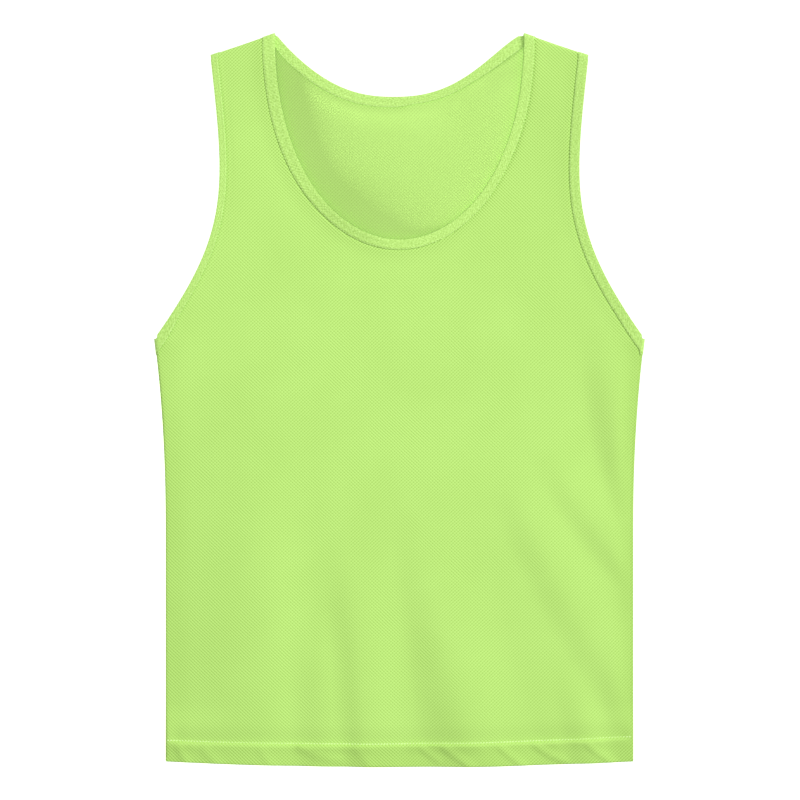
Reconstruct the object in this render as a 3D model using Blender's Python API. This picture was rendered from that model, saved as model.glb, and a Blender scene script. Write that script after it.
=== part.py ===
"""A sleeveless training bib of light mesh knit, laid flat on its back with its front up.

Two panels, front and back, are sewn at the shoulders and sides and hemmed at the bottom. One folded
strip binds the whole neck, and one binds each armhole. X runs across the bib, Y from hem to neck and
Z up from the surface it lies on. The origin is the middle of its outline, on that surface.

Every length below is in millimetres, and MM turns it into Blender's metres.
"""

import math

import bmesh
import bpy
from mathutils import Vector
from mathutils.geometry import delaunay_2d_cdt

MM = 0.001

# The cut, as it lies.
LENGTH = 679.0  # neck point to the middle of the hem
HALF_NECK = 115.0
HALF_SHOULDER = 174.8  # centre line to the shoulder's outer end
SHOULDER_DROP = 20.5
HALF_CHEST = 226.4
ARMHOLE_DEPTH = 282.3  # neck point down to the underarm
HALF_HEM = 216.3
SIDE_SHAPING = 180.0  # the sides narrow from chest to hem width over this length
HEM_DROOP = 5.0  # how far the hem's middle lies below its ends
FRONT_NECK_DEPTH = 190.5
BACK_NECK_DEPTH = 58.4
BACK_ASKEW = 5.2  # the back's neckline lies this far off the middle, towards the wearer's right

# The cloth.
CLOTH = 1.0  # one layer
GAP = 0.3  # air between two layers, and between two pieces at a seam
LAYER = CLOTH + GAP
BINDING = 10.0  # finished width of the neck and armhole bindings
HEM = 21.0  # finished height of the hem

# How the front lies on the back.
LOFT = 2.6  # air between the two panels, away from the seams
LOFT_REACH = 90.0  # the front leaves a seam over about this distance
SETTLE = 80.0  # and comes down from its bindings to that over this distance
STEP_REACH = 15.0  # a panel climbs onto a bound edge or a hem over this distance
STEP_CLEAR = 4.0  # and is level for this far beyond what it lies on
SEAM_ROUND = 2 * CLOTH + 1.5 * GAP  # how far a folded seam bulges past the flat cloth

FOLD_RISE = 0.88  # how far the neck binding's fold stands above the neck point
TOP = LENGTH / 2 - FOLD_RISE
HEM_FOLD = CLOTH + GAP / 2  # outer radius of the hem's turned edge

# Each curve of the neck is a superellipse: (x / half)**ACROSS + (depth / full)**DOWN = 1.
FRONT_NECK = {"depth": FRONT_NECK_DEPTH, "across": 2.0, "down": 2.2}
BACK_NECK = {"depth": BACK_NECK_DEPTH, "across": 2.4, "down": 0.81}

# Soft folds in the front: a ridge runs from start by way of bend to end. Its flank towards the wearer's
# right is steep and the other gentle, each this wide. The steep flank is spread times wider at the end,
# and the ridge grows to its full height over the length fade.
FOLDS = (
    {"start": (-128, -40), "bend": (-120, -190), "end": (-130, -350), "steep": 100, "gentle": 48, "spread": 1.0, "height": 2.7, "fade": 180},
    {"start": (-76, -190), "bend": (-72, -260), "end": (-70, -350), "steep": 30, "gentle": 28, "spread": 1.0, "height": 1.9, "fade": 80},
    {"start": (-46, -110), "bend": (-40, -215), "end": (-27, -350), "steep": 28, "gentle": 50, "spread": 1.0, "height": 3.0, "fade": 140},
    {"start": (12, -80), "bend": (31, -215), "end": (80, -350), "steep": 24, "gentle": 62, "spread": 2.2, "height": 5.2, "fade": 250},
    {"start": (158, -240), "bend": (168, -290), "end": (182, -350), "steep": 24, "gentle": 24, "spread": 1.0, "height": 2.0, "fade": 60},
    {"start": (96, -50), "bend": (144, -182), "end": (240, -312), "steep": 29, "gentle": 50, "spread": 1.1, "height": 2.3, "fade": 100},
    {"start": (136, -30), "bend": (166, -118), "end": (240, -176), "steep": 24, "gentle": 40, "spread": 1.0, "height": 2.5, "fade": 80},
    {"start": (192, 78), "bend": (189, -30), "end": (234, -125), "steep": 27, "gentle": 34, "spread": 1.0, "height": 3.4, "fade": 90},
)
SIDE_FADE = 22.0  # a ridge sinks this near a side seam

LIME = (0.49, 0.81, 0.19, 1.0)
BINDING_LIME = (0.53, 0.84, 0.22, 1.0)


# Curves of the cut, each for the wearer's left half (x > 0).


def bezier(points, t):
    """The point at t of the Bezier curve with these control points."""
    points = [Vector(p) for p in points]
    while len(points) > 1:
        points = [a.lerp(b, t) for a, b in zip(points, points[1:])]
    return points[0]


def armhole_curve(t):
    """The armhole's edge, from the shoulder at t = 0 to the underarm at t = 1."""
    hollow = HALF_SHOULDER - 14
    controls = (
        (HALF_SHOULDER, TOP - SHOULDER_DROP),
        (hollow, TOP - ARMHOLE_DEPTH * 0.514),
        (hollow - 5, TOP - ARMHOLE_DEPTH * 0.65),
        (HALF_CHEST, TOP - ARMHOLE_DEPTH),
    )
    return bezier(controls, t)


def neck_curve(shape, t):
    """A neck's edge, from the neck point at t = 0 to the centre line at t = 1."""
    angle = t * math.pi / 2
    x = HALF_NECK * max(math.cos(angle), 0.0) ** (2 / shape["across"])
    depth = shape["depth"] * math.sin(angle) ** (2 / shape["down"])
    return Vector((x, TOP - depth))


def side_x(y):
    """Half the width of the body at height y below the underarm."""
    down = (TOP - ARMHOLE_DEPTH - y) / SIDE_SHAPING
    return HALF_HEM + (HALF_CHEST - HALF_HEM) * max(0.0, 1.0 - max(down, 0.0)) ** 2.2


def side_curve(t):
    """The side seam, from the underarm at t = 0 to the hem at t = 1."""
    y = (TOP - ARMHOLE_DEPTH) * (1 - t) + hem_y(HALF_HEM) * t
    return Vector((side_x(y), y))


def hem_y(x):
    """Height of the hem's folded edge at x: a shallow arc, lowest in the middle."""
    return -LENGTH / 2 + HEM_DROOP * (x / HALF_HEM) ** 2


def evenly(curve, step, start=0.0, end=1.0, samples=200):
    """Points of curve(t) about step apart, both ends included."""
    fine = [curve(start + (end - start) * i / samples) for i in range(samples + 1)]
    along = [0.0]
    for a, b in zip(fine, fine[1:]):
        along.append(along[-1] + (b - a).length)
    count = max(1, round(along[-1] / step))
    points, i = [fine[0]], 0
    for n in range(1, count):
        while along[i + 1] < along[-1] * n / count:
            i += 1
        share = (along[-1] * n / count - along[i]) / (along[i + 1] - along[i])
        points.append(fine[i].lerp(fine[i + 1], share))
    return points + [fine[-1]]


def inward_normals(points, inside):
    """Unit normals of an open line of points, on the side where the point inside lies."""
    normals = []
    for i, point in enumerate(points):
        ahead = points[min(i + 1, len(points) - 1)] - points[max(i - 1, 0)]
        normal = Vector((-ahead.y, ahead.x)).normalized()
        normals.append(normal if normal.dot(inside - point) > 0 else -normal)
    return normals


def mirrored(points):
    return [Vector((-p.x, p.y)) for p in points]


def distance_to(points, x, y):
    """Distance from (x, y) to an open line of points."""
    here, nearest = Vector((x, y)), math.inf
    for a, b in zip(points, points[1:]):
        along = (here - a).dot(b - a) / (b - a).length_squared
        nearest = min(nearest, (a.lerp(b, min(max(along, 0.0), 1.0)) - here).length)
    return nearest


NECK_POINT = Vector((HALF_NECK, TOP))
SHOULDER_END = Vector((HALF_SHOULDER, TOP - SHOULDER_DROP))
UNDERARM = Vector((HALF_CHEST, TOP - ARMHOLE_DEPTH))
ALONG_SHOULDER = (SHOULDER_END - NECK_POINT).normalized()
OUT_OF_SHOULDER = Vector((-ALONG_SHOULDER.y, ALONG_SHOULDER.x))
OUT_OF_SIDE = Vector((1.0, 0.0))
BODY_MIDDLE = Vector((0.0, 0.0))

EDGE_STEP = 15.0
CLEAR = 3.8  # points inside a panel keep this far apart
ARMHOLE = evenly(armhole_curve, EDGE_STEP)
LONG_ARMHOLE = ARMHOLE + [ARMHOLE[-1] + (ARMHOLE[-1] - ARMHOLE[-2]) * n for n in (1, 2, 3)]
FRONT_NECK_EDGE = evenly(lambda t: neck_curve(FRONT_NECK, t), EDGE_STEP)
BACK_NECK_EDGE = evenly(lambda t: neck_curve(BACK_NECK, t), EDGE_STEP)
SIDE_SEAM = evenly(side_curve, EDGE_STEP)


# Heights: how the two panels lie over the bindings, the hems and each other.


def smooth(share):
    share = min(max(share, 0.0), 1.0)
    return share * share * (3 - 2 * share)


def near(distance, width, reach=STEP_REACH):
    """1 within width of an edge and STEP_CLEAR beyond it, then falling to 0 over reach."""
    return smooth((width + STEP_CLEAR + reach - distance) / reach)


def back_outer(x, y):
    """Height of the back's underside: flat on the floor, but for what its bindings lift."""
    to_neck = distance_to(BACK_NECK_EDGE, abs(x), y)
    to_arm = distance_to(LONG_ARMHOLE, abs(x), y)
    return LAYER * near(min(to_neck, to_arm), BINDING)


def fold_height(fold, x, y):
    """Height that one ridge adds at (x, y)."""
    pieces = 12
    line = [bezier((fold["start"], fold["bend"], fold["end"]), i / pieces) for i in range(pieces + 1)]
    here, away, along, west = Vector((x, y)), math.inf, 0.0, False
    for i, (a, b) in enumerate(zip(line, line[1:])):
        share = min(max((here - a).dot(b - a) / (b - a).length_squared, 0.0), 1.0)
        distance = (a.lerp(b, share) - here).length
        if distance < away:
            away, along, west = distance, (i + share) / pieces, (b - a).cross(here - a) < 0
    width = fold["steep"] * (1 + (fold["spread"] - 1) * along) if west else fold["gentle"]
    grown = smooth(along * (line[-1] - line[0]).length / fold["fade"])
    return fold["height"] * grown * 0.5 * (1 + math.cos(math.pi * min(away / width, 1.0)))


def ridges(x, y):
    """What the soft folds add at (x, y), nothing at the sides."""
    to_side = side_x(y) - abs(x)
    if y > UNDERARM.y or to_side < 0:
        to_side = distance_to(ARMHOLE, abs(x), y)
    return smooth(to_side / SIDE_FADE) * sum(fold_height(fold, x, y) for fold in FOLDS)


def front_rise(x, y):
    """Air and bindings under the front: it lies on the bindings, then settles to its loft."""
    x = abs(x)
    to_neck, to_arm = distance_to(FRONT_NECK_EDGE, x, y), distance_to(LONG_ARMHOLE, x, y)
    to_shoulder = distance_to([NECK_POINT, SHOULDER_END], x, y)
    to_side = distance_to(SIDE_SEAM, x, y)
    level = BINDING + STEP_CLEAR
    past_neck, past_arm = max(to_neck - level, 0.01), max(to_arm - level, 0.01)
    at_neck = LAYER + 2 * LAYER * near(to_shoulder, 2 * BINDING, 4 * STEP_REACH)
    stack = (at_neck * past_arm + 3 * LAYER * past_neck) / (past_neck + past_arm)
    away = smooth((min(to_neck, to_arm) - 2 * BINDING) / SETTLE)
    return stack * (1 - away) + LOFT * smooth(to_side / LOFT_REACH) * away


def front_outer(x, y):
    """Height of the front's upper face, over its own turned edges and the back's."""
    at_hem = near(y - hem_y(x), HEM, 2 * STEP_REACH)
    rise = front_rise(x, y) * (1 - at_hem) + 2 * LAYER * at_hem
    return LAYER + CLOTH + rise + ridges(x, y)


# Walls: a sheet of cloth is a list of point pairs, one on each face, and the faces between them.


class Wall:
    def __init__(self):
        self.outer, self.inner, self.faces = [], [], []

    def add(self, outer, inner):
        self.outer.append(Vector(outer))
        self.inner.append(Vector(inner))
        return len(self.outer) - 1

    def strip(self, row, next_row):
        """Quads between two rows of as many points."""
        for a, b, c, d in zip(row, row[1:], next_row[1:], next_row):
            self.faces.append((a, b, c, d))

    def to_object(self, name, material):
        """One closed body: both faces of the sheet, and a rim along every edge used once."""
        uses = {}
        for face in self.faces:
            for a, b in zip(face, face[1:] + face[:1]):
                uses.setdefault(frozenset((a, b)), []).append((a, b))
        count = len(self.outer)
        faces = list(self.faces) + [tuple(i + count for i in reversed(f)) for f in self.faces]
        for ends in uses.values():
            if len(ends) == 1:
                a, b = ends[0]
                faces.append((b, a, a + count, b + count))
        return body_object(name, self.outer + self.inner, faces, material)


def body_object(name, points, faces, material):
    """A closed mesh object from points in millimetres, its faces turned outwards."""
    mesh = bpy.data.meshes.new(name)
    mesh.from_pydata([p * MM for p in points], [], faces)
    shape = bmesh.new()
    shape.from_mesh(mesh)
    bmesh.ops.recalc_face_normals(shape, faces=shape.faces)
    shape.to_mesh(mesh)
    shape.free()
    mesh.shade_smooth()
    mesh.set_sharp_from_angle(angle=math.radians(40))
    mesh.materials.append(material)
    made = bpy.data.objects.new(name, mesh)
    bpy.context.scene.collection.objects.link(made)
    return made


def cloth_material(name, colour):
    material = bpy.data.materials.new(name)
    material.use_nodes = True
    shader = material.node_tree.nodes["Principled BSDF"]
    shader.inputs["Base Color"].default_value = colour
    shader.inputs["Roughness"].default_value = 0.85
    material.diffuse_color = colour
    return material


# Panels.


def half_outline(neck_edge):
    """A panel's flat outline for x > 0, split at its corners: side, armhole, shoulder, neck.

    Bound edges stay LAYER inside the binding's fold, and sewn edges SEAM_ROUND inside the seam's bulge.
    """
    side = [Vector((p.x - SEAM_ROUND, p.y)) for p in reversed(SIDE_SEAM)]
    side[0].y = hem_y(side[0].x) + HEM_FOLD
    arm = [p + n * LAYER for p, n in zip(ARMHOLE, inward_normals(ARMHOLE, BODY_MIDDLE))]
    arm.reverse()
    neck = [p + n * LAYER for p, n in zip(neck_edge, inward_normals(neck_edge, neck_side(neck_edge)))]
    neck[-1] = Vector((0.0, neck_edge[-1].y - LAYER))
    at_neck, at_shoulder, at_underarm = corner_reaches(neck_edge)
    neck_start = NECK_POINT - OUT_OF_SHOULDER * SEAM_ROUND
    shoulder_start = SHOULDER_END - OUT_OF_SHOULDER * SEAM_ROUND
    neck[0] = neck_start + at_neck * LAYER
    arm[-1] = shoulder_start + at_shoulder * LAYER
    arm[0] = side[-1] = UNDERARM - OUT_OF_SIDE * SEAM_ROUND + at_underarm * LAYER
    bound = (shoulder_start + at_shoulder * BINDING, neck_start + at_neck * BINDING)
    shoulder = [arm[-1]] + evenly(lambda t: bound[0].lerp(bound[1], t), EDGE_STEP) + [neck[0]]
    return side, arm, shoulder, neck


def corner_reaches(neck_edge):
    """How a binding runs in from its fold where it crosses a seam: at neck, shoulder and underarm."""
    neck_normal = inward_normals(neck_edge, neck_side(neck_edge))[0]
    arm_normals = inward_normals(ARMHOLE, BODY_MIDDLE)
    seam = (SIDE_SEAM[1] - SIDE_SEAM[0]).normalized()
    return (
        slanted(ALONG_SHOULDER, neck_normal),
        slanted(-ALONG_SHOULDER, arm_normals[0]),
        slanted(seam, arm_normals[-1]),
    )


def slanted(direction, normal):
    """A reach along direction that keeps the strip's width when measured along normal."""
    return direction / direction.dot(normal)


def edge_reaches(edge, inside, first, last):
    """How a binding runs in from its fold at each point of an edge: square to it, but for its ends."""
    blend, end = 3, len(edge) - 1
    reaches = []
    for i, normal in enumerate(inward_normals(edge, inside)):
        reach = first.lerp(normal, min(i / blend, 1.0))
        reaches.append(last.lerp(reach, min((end - i) / blend, 1.0)))
    return reaches


def neck_reaches(neck_edge):
    return edge_reaches(neck_edge, neck_side(neck_edge), corner_reaches(neck_edge)[0], Vector((0.0, -1.0)))


def armhole_reaches():
    return edge_reaches(ARMHOLE, BODY_MIDDLE, *corner_reaches(FRONT_NECK_EDGE)[1:])


def neck_side(neck_edge):
    """A point well inside the cloth, as seen from any point of this neck edge."""
    return Vector((HALF_SHOULDER * 3, -LENGTH)) if neck_edge is FRONT_NECK_EDGE else Vector((60.0, -LENGTH))


def hem_columns(step):
    reach = HALF_HEM - SEAM_ROUND
    count = round(2 * reach / step)
    return [reach * (2 * i / count - 1) for i in range(count + 1)]


def inner_points(bound, columns, row_step):
    """Points inside a panel: lines along its bound edges and its hem, then a grid between them."""
    level, low = BINDING + STEP_CLEAR, BINDING + STEP_CLEAR + STEP_REACH
    found = []
    for edge, reaches in bound:
        for depth in (BINDING, level, (level + low) / 2, low):
            found += [p + reach * depth for p, reach in zip(edge, reaches)]
    for x in columns[1:-1]:
        above_hem = HEM + STEP_CLEAR
        found += [Vector((x, hem_y(x) + rise)) for rise in (HEM * 0.5, above_hem, above_hem + STEP_REACH)]
        y = -LENGTH / 2 + HEM + STEP_CLEAR + 2 * STEP_REACH
        while y < TOP:
            if min(distance_to(edge, x, y) for edge, _ in bound) > low + CLEAR:
                found.append(Vector((x, y)))
            y += row_step
    return found


def inside_outline(outline, point):
    crossings = 0
    for a, b in zip(outline, outline[1:] + outline[:1]):
        if (a.y > point.y) != (b.y > point.y):
            crossings += point.x < a.x + (point.y - a.y) * (b.x - a.x) / (b.y - a.y)
    return crossings % 2 == 1


def panel(name, neck_edge, outer_height, side_sign, columns_step, row_step, material):
    """A panel as a wall. side_sign is 1 where its outer face is up, and -1 where it lies down."""
    side, arm, shoulder, neck = half_outline(neck_edge)
    columns = hem_columns(columns_step)
    hem = [Vector((x, hem_y(x) + HEM_FOLD)) for x in columns]
    right = side[1:] + arm[1:] + shoulder[1:] + neck[1:]
    outline = hem + right + mirrored(right[:-1])[::-1]
    bound = [(ARMHOLE, armhole_reaches()), (neck_edge, neck_reaches(neck_edge))]
    bound += [(mirrored(edge), mirrored(reaches)) for edge, reaches in bound]
    points = list(outline)
    for point in inner_points(bound, columns, row_step):
        if inside_outline(outline, point) and min((point - other).length for other in points) > CLEAR:
            points.append(point)
    flat, _, triangles, origins, _, _ = delaunay_2d_cdt(points, [], [list(range(len(outline)))], 1, 1e-4)
    wall = Wall()
    for point in flat:
        z = outer_height(point.x, point.y)
        wall.add((point.x, point.y, z), (point.x, point.y, z - side_sign * CLOTH))
    wall.faces = [tuple(face) for face in triangles]
    at = {i: n for n, olds in enumerate(origins) for i in olds}
    count, first = len(outline), len(hem) - 1
    ends = {"side": first + len(side) - 1}
    ends["arm"] = ends["side"] + len(arm) - 1
    ends["shoulder"] = ends["arm"] + len(shoulder) - 1
    turn_hem(wall, [at[i] for i in range(len(hem))], columns, outer_height, side_sign)
    for sign in (1, -1):
        own = (lambda i: at[i]) if sign > 0 else (lambda i: at[(first + count - i) % count])
        round_seam(wall, [own(i) for i in range(first, ends["side"] + 1)], (1.0 * sign, 0.0), side_sign)
        out = (OUT_OF_SHOULDER.x * sign, OUT_OF_SHOULDER.y)
        round_seam(wall, [own(i) for i in range(ends["arm"], ends["shoulder"] + 1)], out, side_sign)
    if side_sign < 0:
        wall.outer, wall.inner = [askew(p) for p in wall.outer], [askew(p) for p in wall.inner]
    return wall.to_object(name, material)


def round_seam(wall, row, out, side_sign):
    """Curls a panel's sewn edge through a quarter turn, towards the other panel's edge."""
    steps = 3
    last = row
    for k in range(1, steps + 1):
        angle = math.pi / 2 * k / steps
        fresh = []
        for start in row:
            base = wall.outer[start]
            middle = seam_middle(base.x, base.y)
            full = abs(base.z - middle)
            rows = []
            for shrink in (0.0, CLOTH):
                reach = (SEAM_ROUND - shrink) * math.sin(angle)
                rise = max((full - shrink) * math.cos(angle), GAP / 2)
                rows.append((base.x + out[0] * reach, base.y + out[1] * reach, middle + side_sign * rise))
            fresh.append(wall.add(*rows))
        wall.strip(last, fresh)
        last = fresh


def askew(point):
    """The point moved as the back's neckline lies: off the middle, but fixed at the neck points."""
    off = max(0.0, 1.0 - (point.x / HALF_NECK) ** 10) * smooth((point.y - 200) / 70)
    return Vector((point.x - BACK_ASKEW * off, point.y, point.z))


def seam_middle(x, y):
    """Height of the seam line, half way between the outer faces of the two panels."""
    return (front_outer(x, y) + back_outer(x, y)) / 2


def turn_hem(wall, row, columns, outer_height, side_sign):
    """Turns the hem's edge to the inside and lays it up against the panel."""
    steps = 4
    last = row
    for k in range(1, steps + 1):
        angle = math.pi * k / steps
        fresh = []
        for x in columns:
            y = hem_y(x) + HEM_FOLD
            centre = outer_height(x, y) - side_sign * HEM_FOLD
            pair = []
            for radius in (HEM_FOLD, HEM_FOLD - CLOTH):
                pair.append((x, y - radius * math.sin(angle), centre + side_sign * radius * math.cos(angle)))
            fresh.append(wall.add(*pair))
        wall.strip(last, fresh)
        last = fresh
    for rise in (HEM * 0.5, HEM):
        fresh = []
        for x in columns:
            y = hem_y(x) + rise
            z = outer_height(x, y) - side_sign * 2 * HEM_FOLD
            fresh.append(wall.add((x, y, z), (x, y, z + side_sign * CLOTH)))
        wall.strip(last, fresh)
        last = fresh


# Bindings: a strip folded over a raw edge, so a U in section, open towards the panel.


def binding_profile():
    """The U as (distance in from the fold, height above the panel's middle), outside then inside."""
    outer, inner, nose = CLOTH * 1.5 + GAP, CLOTH * 0.5 + GAP, CLOTH * 0.75
    return (
        (BINDING, outer),
        (CLOTH, outer),
        (0.0, nose),
        (0.0, -nose),
        (CLOTH, -outer),
        (BINDING, -outer),
        (BINDING, -inner),
        (CLOTH, -inner),
        (CLOTH, inner),
        (BINDING, inner),
    )


PROFILE = binding_profile()
SEAM_FOLD = SEAM_ROUND - CLOTH / 2  # radius of a panel's middle where a bound seam turns


def flat_section(point, reach, height, side_sign, mirror):
    """The U at a point of an edge. reach is the vector that runs in from the fold for each millimetre."""
    section = []
    for depth, rise in PROFILE:
        at = point + reach * depth
        middle = height(at.x, at.y) - side_sign * CLOTH / 2
        section.append(Vector((mirror * at.x, at.y, middle + side_sign * rise)))
    return section


def over_seam(end, out, reaches, mirror):
    """Sections that carry a binding over a seam, from the front to the back, at the seam's end point.

    out points away from the garment, and reaches gives the strip's reach on the front and on the back.
    """
    steps = 6
    start = end - out * SEAM_ROUND
    middle = seam_middle(start.x, start.y)
    made = []
    for k in range(steps + 1):
        angle = math.pi * k / steps
        reach = reaches[0].lerp(reaches[1], k / steps)
        section = []
        for depth, rise in PROFILE:
            radius = SEAM_FOLD + rise
            at = start + reach * depth + out * (radius * math.sin(angle))
            section.append(Vector((mirror * at.x, at.y, middle + radius * math.cos(angle))))
        made.append(section)
    return made


def edge_sections(edge, reaches, height, side_sign, mirror):
    """Sections along an edge, between its two ends."""
    inner = list(zip(edge, reaches))[1:-1]
    return [flat_section(point, reach, height, side_sign, mirror) for point, reach in inner]


def ring_object(name, sections, material):
    """A closed strip swept through sections of as many points."""
    size = len(sections[0])
    points = [p for section in sections for p in section]
    faces = []
    for s in range(len(sections)):
        here, there = s * size, (s + 1) % len(sections) * size
        for i in range(size):
            j = (i + 1) % size
            faces.append((here + i, here + j, there + j, there + i))
    return body_object(name, points, faces, material)


def armhole_binding(name, mirror, material):
    """One ring: up the front of the armhole, over the shoulder, down the back and over the side seam."""
    reaches = armhole_reaches()
    front = edge_sections(ARMHOLE, reaches, front_outer, 1, mirror)
    back = edge_sections(ARMHOLE, reaches, back_outer, -1, mirror)
    shoulder = over_seam(SHOULDER_END, OUT_OF_SHOULDER, (reaches[0], reaches[0]), mirror)
    underarm = over_seam(UNDERARM, OUT_OF_SIDE, (reaches[-1], reaches[-1]), mirror)
    return ring_object(name, front[::-1] + shoulder + back + underarm[::-1], material)


def neck_binding(name, material):
    """One ring: round the front of the neck, over a shoulder, round the back and over the other."""
    front_reaches, back_reaches = neck_reaches(FRONT_NECK_EDGE), neck_reaches(BACK_NECK_EDGE)
    halves = []
    for mirror in (1, -1):
        front = edge_sections(FRONT_NECK_EDGE, front_reaches, front_outer, 1, mirror)
        back = edge_sections(BACK_NECK_EDGE, back_reaches, back_outer, -1, mirror)
        turn = over_seam(NECK_POINT, OUT_OF_SHOULDER, (front_reaches[0], back_reaches[0]), mirror)
        back = [[askew(p) for p in section] for section in back]
        halves.append(front[::-1] + turn + back)
    left, right = halves
    front_middle = flat_section(FRONT_NECK_EDGE[-1], front_reaches[-1], front_outer, 1, 1)
    back_middle = [askew(p) for p in flat_section(BACK_NECK_EDGE[-1], back_reaches[-1], back_outer, -1, 1)]
    return ring_object(name, [front_middle] + left + [back_middle] + right[::-1], material)


def build():
    for old in list(bpy.data.objects):
        bpy.data.objects.remove(old)
    knit = cloth_material("lime_mesh_knit", LIME)
    rib = cloth_material("lime_binding", BINDING_LIME)
    panel("back_panel", BACK_NECK_EDGE, back_outer, -1, 24.0, 60.0, knit)
    panel("front_panel", FRONT_NECK_EDGE, front_outer, 1, 12.5, 20.0, knit)
    neck_binding("neck_binding", rib)
    armhole_binding("left_armhole_binding", 1, rib)
    armhole_binding("right_armhole_binding", -1, rib)


build()
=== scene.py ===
# %% [markdown]
# # A lime training bib, laid flat
# This lesson dresses a sleeveless training bib that lies on its back with its front up. The construction
# model already holds its true shape: two panels, one folded strip round the neck and one round each
# armhole. Here each of those gets a thin cloth shell of its own, with soft folds, grooves at the seams,
# rows of stitches and a fine mesh knit. The first cell loads the construction model as a fixed frame.

# %% Load the frame
import math

import bmesh
import bpy
import numpy as np
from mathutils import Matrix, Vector, noise
from mathutils.geometry import delaunay_2d_cdt


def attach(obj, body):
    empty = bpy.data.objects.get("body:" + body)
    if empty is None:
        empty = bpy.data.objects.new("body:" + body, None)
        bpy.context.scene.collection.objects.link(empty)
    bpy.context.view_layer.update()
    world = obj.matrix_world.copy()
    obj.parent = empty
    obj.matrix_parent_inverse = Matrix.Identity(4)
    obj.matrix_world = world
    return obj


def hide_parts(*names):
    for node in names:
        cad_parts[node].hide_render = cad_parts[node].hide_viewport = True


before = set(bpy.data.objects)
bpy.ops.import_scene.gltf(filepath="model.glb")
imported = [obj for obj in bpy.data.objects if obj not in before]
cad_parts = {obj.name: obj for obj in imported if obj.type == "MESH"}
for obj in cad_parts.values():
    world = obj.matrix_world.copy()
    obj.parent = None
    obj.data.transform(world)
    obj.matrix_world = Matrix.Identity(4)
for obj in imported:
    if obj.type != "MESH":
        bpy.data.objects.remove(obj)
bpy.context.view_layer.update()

MM = 0.001

# %% [markdown]
# ## The cut
# A pattern maker starts from a few sizes: length, chest, hem, the depth of the neck and of the armholes.
# All lengths in this lesson are in millimetres, and MM turns them into metres when a mesh is made. The
# sizes are those of the construction model, so the shells lie exactly on its solids.

# %% Sizes
LENGTH, HEM_DROOP = 679.0, 5.0
HALF_NECK, HALF_SHOULDER, SHOULDER_DROP = 115.0, 174.8, 20.5
HALF_CHEST, HALF_HEM, SIDE_SHAPING = 226.4, 216.3, 180.0
ARMHOLE_DEPTH, FRONT_NECK_DEPTH, BACK_NECK_DEPTH = 282.3, 190.5, 58.4
BACK_ASKEW = 5.2  # the back's neckline lies this far off the middle, towards the wearer's right
TOP = LENGTH / 2 - 0.88  # level of the neck points, where the strips turn over the shoulders

WALL, GAP = 1.0, 0.3  # one layer of the solid cloth, and the air between two layers
LAYER = WALL + GAP
CLOTH = 0.8  # the shell's own thickness, a little less than the solid's
BINDING, HEM = 10.0, 21.0
SEAM_ROUND, HEM_FOLD = 2 * WALL + 1.5 * GAP, WALL + GAP / 2

LOFT, LOFT_REACH, SETTLE = 2.6, 90.0, 80.0  # how high the front stands off the back, and how slowly
STEP_REACH, STEP_CLEAR = 15.0, 4.0  # how slowly the cloth comes down beside a turned edge
print("bib:", LENGTH, "mm long,", 2 * HALF_CHEST, "mm across the chest")

# %% [markdown]
# ## The outline
# Each edge of the cut is one smooth curve for the wearer's left half, and the other half mirrors it. The
# necks are superellipses, which are fuller than a circle near the shoulder. The armhole is a Bezier curve,
# straight down the strap and then swept out to the underarm. A curve is read as points at even steps, as a
# tape measure laid along the edge would give them.


# %% Edge curves
def lengths_along(line):
    """How far along a line each of its points lies."""
    return np.concatenate([[0], np.cumsum(np.linalg.norm(np.diff(line, axis=0), axis=1))])


def evenly(points, step):
    """The same open line, with points about step apart."""
    along = lengths_along(points)
    at = np.linspace(0, along[-1], max(2, round(along[-1] / step) + 1))
    return np.stack([np.interp(at, along, points[:, i]) for i in range(2)], axis=1)


def armhole_line(step):
    """From the shoulder down to the underarm. The four control points are those of the cut."""
    hollow = HALF_SHOULDER - 14
    controls = np.array(
        [
            [HALF_SHOULDER, TOP - SHOULDER_DROP],
            [hollow, TOP - ARMHOLE_DEPTH * 0.514],
            [hollow - 5, TOP - ARMHOLE_DEPTH * 0.65],
            [HALF_CHEST, TOP - ARMHOLE_DEPTH],
        ]
    )
    t = np.linspace(0, 1, 400)[:, None]
    weights = [(1 - t) ** 3, 3 * t * (1 - t) ** 2, 3 * t * t * (1 - t), t**3]
    return evenly(sum(w * c for w, c in zip(weights, controls)), step)


def neck_line(depth, across, down, step):
    """From the neck point to the middle. across and down are the powers that make the curve fuller."""
    angle = np.linspace(0, math.pi / 2, 800)
    x = HALF_NECK * np.clip(np.cos(angle), 0, 1) ** (2 / across)
    return evenly(np.stack([x, TOP - depth * np.sin(angle) ** (2 / down)], axis=1), step)


def hem_y(x):
    return -LENGTH / 2 + HEM_DROOP * (x / HALF_HEM) ** 2


def side_x(y):
    down = np.maximum((TOP - ARMHOLE_DEPTH - y) / SIDE_SHAPING, 0)
    return HALF_HEM + (HALF_CHEST - HALF_HEM) * np.maximum(0, 1 - down) ** 2.2


def side_line(step):
    y = np.linspace(TOP - ARMHOLE_DEPTH, hem_y(HALF_HEM), 300)
    return evenly(np.stack([side_x(y), y], axis=1), step)


FINE = 2.2
ARMHOLE, SIDE = armhole_line(FINE), side_line(3.0)
FRONT_NECK = neck_line(FRONT_NECK_DEPTH, 2.0, 2.2, FINE)
BACK_NECK = neck_line(BACK_NECK_DEPTH, 2.4, 0.81, FINE)
NECK_POINT, SHOULDER_END, UNDERARM = FRONT_NECK[0], ARMHOLE[0], ARMHOLE[-1]
print("edge points:", len(ARMHOLE), "armhole,", len(FRONT_NECK), "front neck,", len(BACK_NECK), "back neck")

# %% [markdown]
# ## How a strip turns over an edge
# A binding is folded square to the edge that it covers. Where it crosses the shoulder or the side seam it
# runs along that seam instead, so each point of an edge has a reach: the direction in which the strip runs
# in from its fold, long enough to keep the strip's width.


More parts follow.
